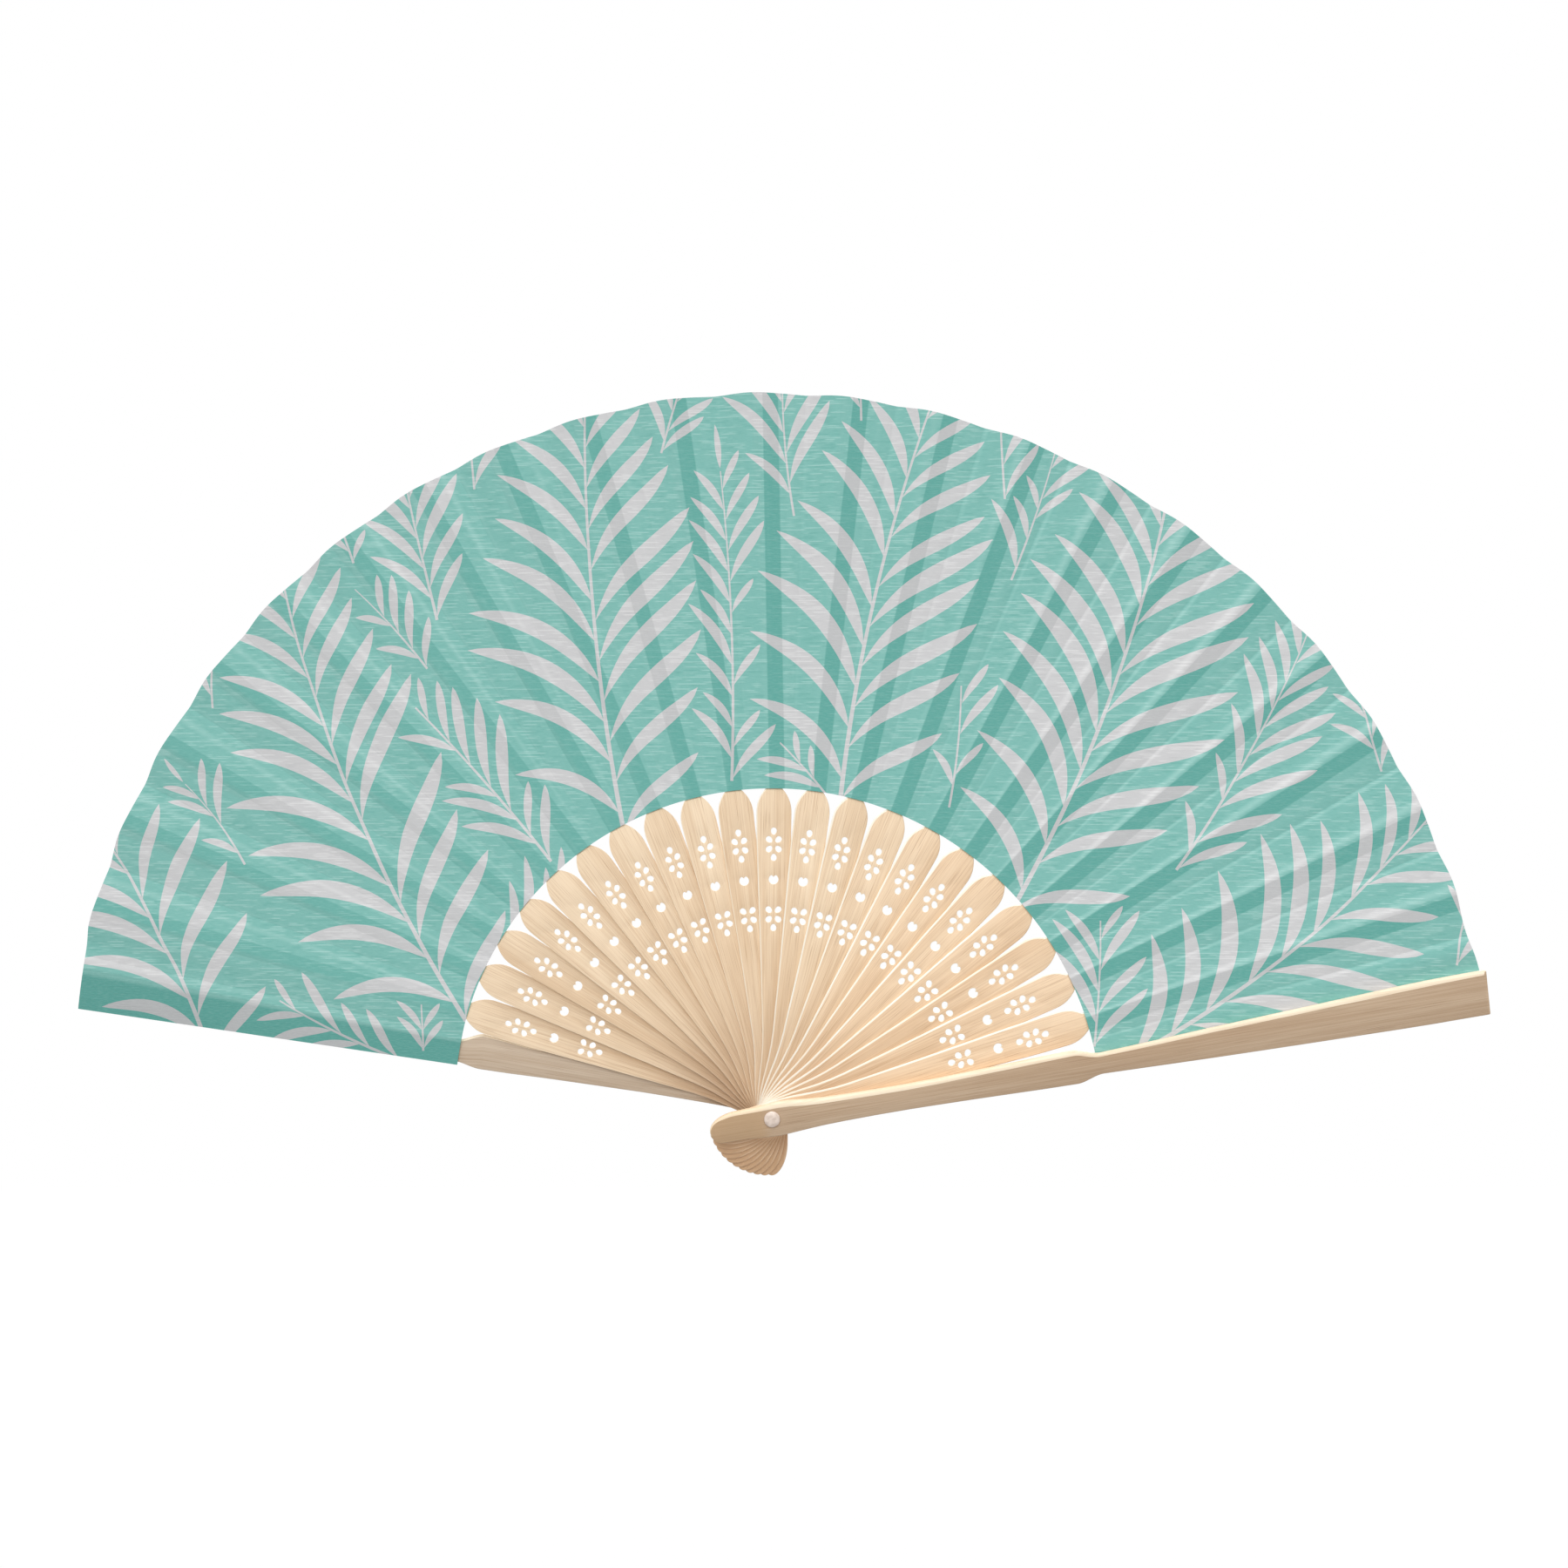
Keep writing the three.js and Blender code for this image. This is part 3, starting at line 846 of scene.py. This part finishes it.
plastic = rivetPlastic()
nodeBody = {node: body for body, nodes in frame["record"]["behaviour"]["bodies"].items() for node in nodes}
addRivetHead("rivet_head_front", 1, nodeBody["rivet_head_front"], plastic)
addRivetHead("rivet_head_back", -1, nodeBody["rivet_head_back"], plastic)
frame["nodes"]["rivet_pin"].data.materials.clear()
frame["nodes"]["rivet_pin"].data.materials.append(plastic)
print("rivet made")

# The print: palm fronds laid out on the flat cloth, in millimetres
fronds = {
    "seed": 5,
    # x, z, heading, length, bend, longest leaflet
    "stems": [
        (-92, 26, 122, 152, -20, 47),
        (-44, 82, 101, 136, -12, 46),
        (20, 92, 84, 124, -14, 46),
        (70, 60, 60, 160, 22, 48),
        (97, 14, 26, 126, 24, 44),
        (-168, 12, 108, 90, 16, 40),
    ],
    "sprays": [
        (-66, 74, 128, 92, 10, 30),
        (-12, 98, 88, 92, 8, 29),
        (48, 86, 66, 40, -6, 22),
        (-112, 14, 160, 50, -14, 24),
        (-100, 146, 104, 60, -4, 26),
        (34, 100, 72, 44, -6, 20),
        (-152, 96, 116, 60, 4, 24),
        (118, 72, 54, 84, 14, 30),
        (196, 34, 96, 46, 6, 24),
        (-196, 44, 92, 60, -8, 26),
        (90, 38, 40, 62, 6, 22),
        (-86, 48, 146, 52, -8, 22),
        (52, 176, 50, 40, 10, 24),
        (-70, 186, 108, 40, 10, 24),
    ],
    "stemSpacing": 13,
    "spraySpacing": 9.5,
    "stemWidth": 1.4,
    "sprayWidth": 0.9,
    "sprigTries": 2500,  # small fronds in what room is left
    "sprigLeaflets": (26, 11),  # the longest, from the first try to the last
    "sprigWidth": 0.7,
    "sprigHeading": (50, 130),
    "sprigLength": (1.5, 2.2),  # for its longest leaflet, as the spacing
    "sprigSpacing": 0.36,
    "sprigBend": 16,
    "spread": (1, 0.55),  # how wide the leaflets open, from the foot to the tip
    "uprightSpread": (0.62, 0.4),
    "opening": (24, 30),
    "unevenness": (0.94, 1.05),
    "broadness": (0.092, 1.0),  # of a leaflet, for its length and besides
    "endBroadness": 0.8,
    "shortening": 0.93,
    "leastStem": 0.6,  # of a small frond, or it is left out, as with the next
    "leastLeaflets": 0.62,
    "gap": 1.0,
    "leastReach": 2.0,  # between the middles of two shapes
    "cellSize": 8,  # of the grid in which near shapes are looked up
}


def curve(x, z, heading, length, bends, count):
    points = []
    for i in range(count + 1):
        points.append((x, z, heading))
        part = bends[min(int(len(bends) * i / count), len(bends) - 1)]
        heading += part / count * len(bends)
        x += math.cos(math.radians(heading)) * length / count
        z += math.sin(math.radians(heading)) * length / count
    return points


def ribbon(path, widths):
    left, right = [], []
    for (x, z, heading), width in zip(path, widths):
        a = math.radians(heading)
        left.append((x - math.sin(a) * width / 2, z + math.cos(a) * width / 2))
        right.append((x + math.sin(a) * width / 2, z - math.cos(a) * width / 2))
    return right + left[::-1]


class Print:
    def __init__(self, rng):
        self.rng = rng
        self.shapes = []
        self.taken = {}
        self.owner = 0

    def cell(self, x, z):
        return (int(x // fronds["cellSize"]), int(z // fronds["cellSize"]))

    def isClear(self, path, widths, ownShare):  # a leaflet may touch its own stem over its first share
        for step, ((x, z, _), width) in enumerate(zip(path, widths)):
            cx, cz = self.cell(x, z)
            cells = [(cx + i, cz + j) for i in (-1, 0, 1) for j in (-1, 0, 1)]
            for px, pz, half, owner in [place for cell in cells for place in self.taken.get(cell, ())]:
                if owner == self.owner and step < len(path) * ownShare:
                    continue
                if math.hypot(x - px, z - pz) < max(half + width / 2 + fronds["gap"], fronds["leastReach"]):
                    return False
        return True

    def lay(self, path, widths):
        self.shapes.append(ribbon(path, widths))
        for (x, z, _), width in zip(path, widths):
            self.taken.setdefault(self.cell(x, z), []).append((x, z, width / 2, self.owner))

    # A stem with leaflets on both sides. A small one that finds too little room is taken out again.
    def frond(self, stem, spacing, stemWidth, upright, optional):
        x, z, heading, length, bend, longest = stem
        self.owner += 1
        count = max(8, int(length / 3))
        path = curve(x, z, heading, length, [bend], count)
        widths = [lerp(stemWidth, stemWidth * 0.4, i / count) for i in range(count + 1)]
        clear = len(path)
        while clear > 4 and not self.isClear(path[:clear], [w + 1.5 for w in widths], 0):
            clear -= 1
        if optional and clear < len(path) * fronds["leastStem"]:
            return
        path, widths = path[:clear], widths[:clear]
        length *= (clear - 1) / count
        kept = len(self.shapes)
        self.lay(path, widths)
        steps = max(2, int(length / spacing))
        marks = []
        for i in range(steps + 1):
            marks += [((i + 0.2 + 0.5 * (side > 0)) / (steps + 0.7), side) for side in (-1, 1)]
        for t, side in sorted(marks):
            if t > 0.97:
                continue
            reach = longest * min(1, 0.72 + 1.1 * t, 1.42 - 1.05 * t)
            reach *= self.rng.uniform(*fronds["unevenness"])
            spread = lerp(*fronds["uprightSpread" if upright else "spread"], t)
            self.leaflet(path[int(t * (clear - 1))], side, reach, spread)
        self.leaflet(path[-1], 0, longest * 0.45, 1)
        if optional and len(self.shapes) - kept < fronds["leastLeaflets"] * len(marks):
            del self.shapes[kept:]
            for places in self.taken.values():
                places[:] = [place for place in places if place[3] != self.owner]

    def leaflet(self, root, side, reach, spread):
        x, z, direction = root
        rng = self.rng
        heading = direction + side * rng.uniform(*fronds["opening"]) * lerp(1, spread, 0.5)
        if side > 0:
            turns = [a * spread for a in (rng.uniform(10, 14), 17, 18, rng.uniform(8, 14))]
            rise, fall = 0.85, 0.85
        elif side < 0:
            turns = [-a * spread for a in (rng.uniform(14, 18), 15, 2, -rng.uniform(6, 12))]
            rise, fall = 1.05, 0.75
        else:
            turns = [rng.uniform(-5, 5), rng.uniform(-5, 5)]
            rise, fall = 0.9, 0.9
        x += math.cos(math.radians(heading)) * 0.9
        z += math.sin(math.radians(heading)) * 0.9
        peak = rise / (rise + fall)
        top = peak ** rise * (1 - peak) ** fall
        stations = 16
        shares = [i / stations for i in range(stations + 1)]
        shortest = max(6, 0.35 * reach)
        while reach > shortest:  # shortened until it is clear of its neighbours
            path = curve(x, z, heading, reach, turns, stations)
            byLength, besides = fronds["broadness"]
            broad = (byLength * reach + besides) * (1 if side else fronds["endBroadness"])
            widths = [broad * (t ** rise * (1 - t) ** fall) / top + 0.05 for t in shares]
            if self.isClear(path, widths, 0.3):
                self.lay(path, widths)
                return
            reach *= fronds["shortening"]


def layPrint():
    rng = random.Random(fronds["seed"])
    palms = Print(rng)
    for stem in fronds["stems"]:
        palms.frond(stem, fronds["stemSpacing"], fronds["stemWidth"], False, False)
    for stem in fronds["sprays"]:
        palms.frond(stem, fronds["spraySpacing"], fronds["sprayWidth"], True, True)
    for attempt in range(fronds["sprigTries"]):
        radius = rng.uniform(fan["leafInner"] - 4, fan["leafOuter"] - 4)
        angle = rng.uniform(0.15, math.pi - 0.15)
        longest = lerp(*fronds["sprigLeaflets"], attempt / fronds["sprigTries"]) * rng.uniform(0.9, 1.1)
        heading, length = rng.uniform(*fronds["sprigHeading"]), longest * rng.uniform(*fronds["sprigLength"])
        bend = rng.uniform(-fronds["sprigBend"], fronds["sprigBend"])
        stem = (radius * math.cos(angle), radius * math.sin(angle), heading, length, bend, longest)
        palms.frond(stem, fronds["sprigSpacing"] * longest, fronds["sprigWidth"], True, True)
    return palms.shapes


shapes = layPrint()
print("print laid out in", len(shapes), "shapes")

# The leaf: one pleated cloth, made as a field from each rib to the next
cloth = {
    "thickness": 0.2,
    "seat": 0.525,  # from a rib's middle to the cloth's
    "guardSeat": 0.8,  # from the stack's side to the cloth's middle, over a guard's blade
    "bandHalf": 2.3,
    "guardBandStrength": 1.3,
    "guardShade": (0.45, 0.5, 0.5, 1),
    "backEdge": [(95.8, 3.65), (190, 5.75), (211.5, 6.25)],  # from the back guard's axis to the cloth's end
    "ridgeReach": 211.65,
    "valleyReach": 211.25,
    # where the outer edge is on a ridge (1) or in a valley (0):
    # of the first field, of the others and of the last
    "firstEdge": [(0, 1), (0.8, 0), (1, 0.83)],
    "edge": [(0, 0.83), (0.09, 1), (0.575, 0), (1, 0.83)],
    "lastEdge": [(0, 0.83), (0.09, 1), (1, 0)],
    # how far out the edge is cut, from the front guard (0) past the sticks to the back guard (22)
    "reachOff": [(0, -0.9), (0.8, -2.05), (2, -2.0), (5, -0.9), (8, 0.2), (12, 1.6), (15, 1.7), (18, 0.9),
                 (19.5, 0.65), (21.1, 0.8), (22, -0.1)],
    "ridgeShare": 0.09,
    "valleyShare": 0.575,
    # the cloth's slope across a gap, from one rib's middle to the next, at the outer edge
    "slopes": [(0, 0.04), (0.05, 0.04), (0.13, -0.25), (0.2, -0.12), (0.3, -0.06), (0.42, -0.07),
               (0.5, -0.12), (0.57, -0.18), (0.58, 0.13), (0.66, 0.09), (0.78, 0.05), (1, 0.04)],
    # painted highlights along its folds, stronger on the side where they face the light: the place, half the
    # width, and how strong at the left and at the right
    "foldHighlights": [(0.13, 0.075, 0.1, 0.4), (0.545, 0.035, 0.06, 0.26), (0.73, 0.06, 0.26, 0.02)],
    "foldHighlightLeast": 0.05,
    "foldHighlightSides": (0.3, 1.1),  # from the middle to the full strength at the right or left, in 100 mm
    "weaveScale": (60, 420),
    "fineScale": (600, 250),
    "weaveRelief": 0.02,  # in millimetres, as the next two
    "slubRelief": 0.015,
    "fineRelief": 0.012,
    "slubRange": (0.5, 0.66),
    "gapRange": (0.56, 0.74),
    "gapStrength": 0.35,
    "threadPitch": 0.5,
    "threadStep": 7.31,  # from one thread's pattern to the next one's
    "slubsAlong": 13,  # per 100 mm
    "gapsAlong": 15,
    "gapsOff": 3.7,
    "slubStrength": 0.5,
    # the darker bands where a rib or guard shows through; widths are shares of half a band
    "bandEdge": (1.1, 0.9),
    "bandSmooth": 0.8,
    "bandStrength": (1.0, 0.68),  # over the first and over the last ribs
    "bandChange": (11, 17),
    "bandShift": [(2, -1.1), (11, -0.9), (15, 0.3), (18, 0.8)],  # how far each rib shows off its place
    # painted light on the cloth beside the back guard's band: how strong, and the distances over which it
    # comes and goes
    "besideGuard": 0.7,
    "besideNear": (1.1, 1.5),
    "besideFar": (3.4, 2.2),
    "innerSlopes": 0.45,  # their share at the inner edge
    "columnWidth": 1.3,
    "rowHeight": 5.0,
    "teal": colour(130, 192, 183),
    # paler tone for the slubs and for the painted light, as the ink's below
    "tealLift": colour(176, 220, 213),
    "tealBand": colour(100, 173, 163),
    "ink": colour(211, 211, 212),
    "inkLift": colour(236, 236, 236),
    "inkBand": colour(197, 198, 199),
    "tealBack": colour(158, 201, 194),
    "inkBack": colour(196, 214, 211),
}


def fieldEnd(index):
    if index == 0:
        return stackHalf + cloth["guardSeat"], 0
    if index > fan["sticks"]:
        return -stackHalf - cloth["guardSeat"], 0
    return layerHeight(index) + cloth["seat"], 1


def fieldHeight(index, radius, along):
    (fromHeight, fromRib), (toHeight, toRib) = fieldEnd(index - 1), fieldEnd(index)
    width = radius * (openAngle(index) - openAngle(index - 1))
    turn = smooth(share(along, width / 2 - foldHalf, width / 2 + foldHalf))
    lean = leanAt(radius) * lerp(fromRib, toRib, turn)
    return lerp(fromHeight, toHeight, turn) + lean * (along - width * turn - sideAt(radius))


def fieldSides(index, radius):
    width = radius * (openAngle(index) - openAngle(index - 1))
    start = -guardEdgeAt(radius, "frontBottom") if index == 1 else sideAt(radius)
    end = width + (lineAt(cloth["backEdge"], radius) if index > fan["sticks"] else sideAt(radius))
    return start, end


def outerRadius(index, s):
    name = "firstEdge" if index == 1 else "lastEdge" if index > fan["sticks"] else "edge"
    reach = lerp(cloth["valleyReach"], cloth["ridgeReach"], lineAt(cloth[name], s))
    return reach + lineAt(cloth["reachOff"], index - 1 + s)


# Height across a gap for its width, as the stops of a ramp, with the lowest and highest value
def reliefStops():
    count, fine = 30, 600  # a ramp holds 32 stops at most
    heights = [0.0]
    for i in range(fine):
        at = (i + 0.5) / fine
        for (left, a), (right, b) in zip(cloth["slopes"], cloth["slopes"][1:]):
            if left <= at <= right:
                heights.append(heights[-1] + lerp(a, b, (at - left) / (right - left)) / fine)
                break
    low, high = min(heights), max(heights)
    even = {round(i / (count - 3), 4) for i in range(count - 2)}
    places = sorted(even | {cloth["ridgeShare"] - 0.005, cloth["valleyShare"]})
    return [(place, (heights[round(place * fine)] - low) / (high - low)) for place in places], low, high


# What the bump adds so that the cloth's folds are as crisp as they look, in millimetres
def foldHeight(paint):
    pleat = paint.axes("pleat")
    depth = pleat.out("Y")
    radius = depth * (fan["leafOuter"] - fan["leafInner"]) + fan["leafInner"]
    width = radius * gapSweep
    side = depth * sideAt(fan["leafOuter"])
    along = pleat * width + side
    middle = width * 0.5
    turn = paint.between(along, middle - foldHalf, middle + foldHalf)
    lean = depth * leanAt(fan["leafOuter"])
    actual = lean * (along - width * turn - side) - turn * layerPitch
    stops, low, high = reliefStops()
    ramp = paint.node("ValToRGB", {"stops": stops}, {0: pleat})
    wanted = (ramp * (high - low)) * width * (depth * (1 - cloth["innerSlopes"]) + cloth["innerSlopes"])
    return wanted - actual


def clothPaint(name, plain, lift, band, front):
    material, paint = newPaint(name)
    weave = paint.noise(paint.uv("weave", cloth["weaveScale"]), 2)
    flat = paint.axes("weave")
    row = flat.out("Y") * (100 / cloth["threadPitch"])
    inRow = paint.maths("ABSOLUTE", paint.maths("FRACT", row) - 0.5)
    thread = paint.maths("FLOOR", row) * cloth["threadStep"]
    long = paint.node("CombineXYZ", None, {0: flat * cloth["slubsAlong"], 1: thread})
    slub = paint.between(paint.noise(long, 2), *cloth["slubRange"]) * paint.between(inRow, 0.5, 0.2)
    long = paint.node("CombineXYZ", None, {0: flat * cloth["gapsAlong"], 1: thread + cloth["gapsOff"]})
    thin = paint.between(paint.noise(long, 1), *cloth["gapRange"])
    fine = paint.noise(paint.uv("weave", cloth["fineScale"]), 1)
    rib = paint.axes("rib")
    distance = paint.maths("ABSOLUTE", rib)
    inBand = paint.between(distance, *cloth["bandEdge"])
    behind = inBand * rib.out("Y")
    overGuard = paint.maths("MAXIMUM", rib.out("Y") - 1, 0.0)  # more than 0 only at the back guard
    tone = paint.mix(thin * cloth["gapStrength"], plain, band)
    if front:
        tone = paint.mix(behind, tone, band)
        tone = paint.mix(inBand * overGuard, tone, cloth["guardShade"], "MULTIPLY")
    place = paint.axes("pleat")
    beside = paint.between(distance, *cloth["besideFar"]) * paint.between(distance, *cloth["besideNear"])
    beside = beside * overGuard
    slubsAndPaintedLight = slub * (1 - behind * cloth["bandSmooth"]) * cloth["slubStrength"]
    slubsAndPaintedLight = slubsAndPaintedLight + paint.between(weave, 0.35, 0.75) * 0.1
    near, far = cloth["foldHighlightSides"]
    atRight, atLeft = paint.between(flat, near, far), paint.between(flat, -near, -far)
    # painted highlights along the folds, weighted by the side of the fan
    for at, half, strengthLeft, strengthRight in cloth["foldHighlights"]:
        strength = atRight * strengthRight + atLeft * strengthLeft + cloth["foldHighlightLeast"]
        slubsAndPaintedLight = slubsAndPaintedLight + paint.between(paint.maths("ABSOLUTE", place - at), half, 0.0) * strength
    # painted light beside the back guard's band
    slubsAndPaintedLight = slubsAndPaintedLight + beside * cloth["besideGuard"]
    tone = paint.mix(slubsAndPaintedLight, tone, lift)
    height = weave * cloth["weaveRelief"] + slub * cloth["slubRelief"] + fine * cloth["fineRelief"]
    height = height + foldHeight(paint)
    bump = paint.node("Bump", None, {"Strength": 1.0, "Distance": 0.001, "Height": height})
    rough = paint.between(weave, 0.3, 0.7, 0.82, 0.7)
    finish = {"Specular IOR Level": 0.3, "Sheen Weight": 0.08}
    finishPaint(paint, {"Base Color": tone, "Roughness": rough, "Normal": bump, **finish})
    return material


clothMaterials = [
    clothPaint("leaf cloth", cloth["teal"], cloth["tealLift"], cloth["tealBand"], True),
    clothPaint("leaf cloth print", cloth["ink"], cloth["inkLift"], cloth["inkBand"], True),
    clothPaint("leaf cloth back", cloth["tealBack"], cloth["tealLift"], cloth["teal"], False),
    clothPaint("leaf cloth print through the back", cloth["inkBack"], cloth["inkLift"], cloth["teal"], False),
]


# A flat grid over a field: its points, its lines along the ribs and its outline
def fieldGrid(index):
    start, end = fieldSides(index, fan["leafOuter"])
    columns = max(8, round((end - start) / cloth["columnWidth"]))
    rows = round((fan["leafOuter"] - fan["leafInner"]) / cloth["rowHeight"])
    flat, lines, inner, outer = [], [], [], []
    for column in range(columns + 1):
        s = column / columns
        previous = None
        for row in range(rows + 1):
            radius = lerp(fan["leafInner"], outerRadius(index, s), row / rows)
            start, end = fieldSides(index, radius)
            angle = openAngle(index - 1) + lerp(start, end, s) / radius
            here = len(flat)
            flat.append(Vector((radius * math.cos(angle), radius * math.sin(angle))))
            if previous is not None:
                lines.append((previous, here))
            if row == 0:
                inner.append(here)
            if row == rows:
                outer.append(here)
            previous = here
    left = list(range(inner[-1], inner[-1] + rows + 1))
    right = list(range(0, rows + 1))
    return flat, lines, right + outer[1:-1] + left[::-1] + inner[1:-1][::-1]


# Adds the shapes of the print near a field to its points, and gives each one's loop
def printLoops(flat):
    low = (min(p.x for p in flat), min(p.y for p in flat))
    high = (max(p.x for p in flat), max(p.y for p in flat))
    loops = []
    for shape in shapes:
        xs = [p[0] for p in shape]
        zs = [p[1] for p in shape]
        if max(xs) < low[0] or min(xs) > high[0] or max(zs) < low[1] or min(zs) > high[1]:
            continue
        loops.append(list(range(len(flat), len(flat) + len(shape))))
        flat.extend(Vector(p) for p in shape)
    return loops


def addField(index):
    startAngle = openAngle(index - 1)
    sweep = openAngle(index) - startAngle
    flat, lines, outline = fieldGrid(index)
    loops = [outline] + printLoops(flat)
    spots, _, triangles, _, _, owners = delaunay_2d_cdt(flat, lines, loops, 1, 1e-5)
    kept = [(t, len(o) > 1) for t, o in zip(triangles, owners) if 0 in o]  # each with whether it is printed

    draft = Draft()
    number, facts = {}, []
    for triangle, _ in kept:
        for i in triangle:
            if i in number:
                continue
            number[i] = len(facts)
            x, z = spots[i]
            radius = math.hypot(x, z)
            along = (math.atan2(z, x) - startAngle) * radius
            start, end = fieldSides(index, radius)
            height = fieldHeight(index, radius, along)
            facts.append((x, z, radius, along, (along - start) / (end - start), height))
    count = len(facts)
    for side in (1, -1):
        for x, z, _, _, _, height in facts:
            draft.points.append((x / 1000, -(height + side * cloth["thickness"] / 2) / 1000, z / 1000))

    def ribMap(fact, nearEnd):
        _, _, radius, along, _, _ = fact
        width = radius * sweep
        if nearEnd and index > fan["sticks"]:
            off = along - width
            return (off / guardEdgeAt(radius, "backTop") if off < 0 else 0.0, cloth["guardBandStrength"])
        if not nearEnd and index == 1:
            return (2.0, 0.0)
        shift = lineAt(cloth["bandShift"], index - 1 + nearEnd)
        centre = (width if nearEnd else 0) + sideAt(radius) + shift
        strength = lerp(*cloth["bandStrength"], share(index, *cloth["bandChange"]))
        return ((along - centre) / cloth["bandHalf"], strength)

    def pleatMap(fact):
        _, _, radius, along, _, _ = fact
        shareAcross = (along - sideAt(radius)) / (radius * sweep)
        return (shareAcross, share(radius, fan["leafInner"], fan["leafOuter"]))

    def mapped(corners):
        found = [facts[i % count] for i in corners]
        nearEnd = sum(f[4] for f in found) / len(found) > 0.5
        return {
            "weave": [(f[0] / 100, f[1] / 100) for f in found],
            "rib": [ribMap(f, nearEnd) for f in found],
            "pleat": [pleatMap(f) for f in found],
        }

    rim = {}
    for triangle, inked in kept:
        corners = [number[i] for i in triangle]
        draft.face(corners, 1 if inked else 0, True, **mapped(corners))
        back = [i + count for i in reversed(corners)]
        draft.face(back, 3 if inked else 2, True, **mapped(back))
        for a, b in zip(corners, corners[1:] + corners[:1]):
            rim[(a, b)] = inked
    for (a, b), inked in rim.items():
        if (b, a) not in rim:
            wall = [b, a, a + count, b + count]
            draft.face(wall, 1 if inked else 0, False, **mapped(wall))

    piece = draft.make(f"leaf_{index:02d}_cloth", clothMaterials)
    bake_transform(piece)
    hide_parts(f"leaf_{index:02d}")
    start, end = fieldSides(index, fan["leafOuter"])
    innerStart, innerEnd = fieldSides(index, fan["leafInner"])
    depth = fan["leafOuter"] - fan["leafInner"]
    area = ((end - start) + (innerEnd - innerStart)) / 2 * depth
    (end - start) / 1000
    area / 1e6

    def areaOf(found):
        return sum(abs((spots[t[1]] - spots[t[0]]).cross(spots[t[2]] - spots[t[0]])) for t in found)

    return areaOf([t for t, inked in kept if inked]), areaOf([t for t, _ in kept])


areas = [addField(index) for index in range(1, fan["sticks"] + 2)]
print("leaf made, printed share", round(sum(a for a, _ in areas) / sum(b for _, b in areas), 3))
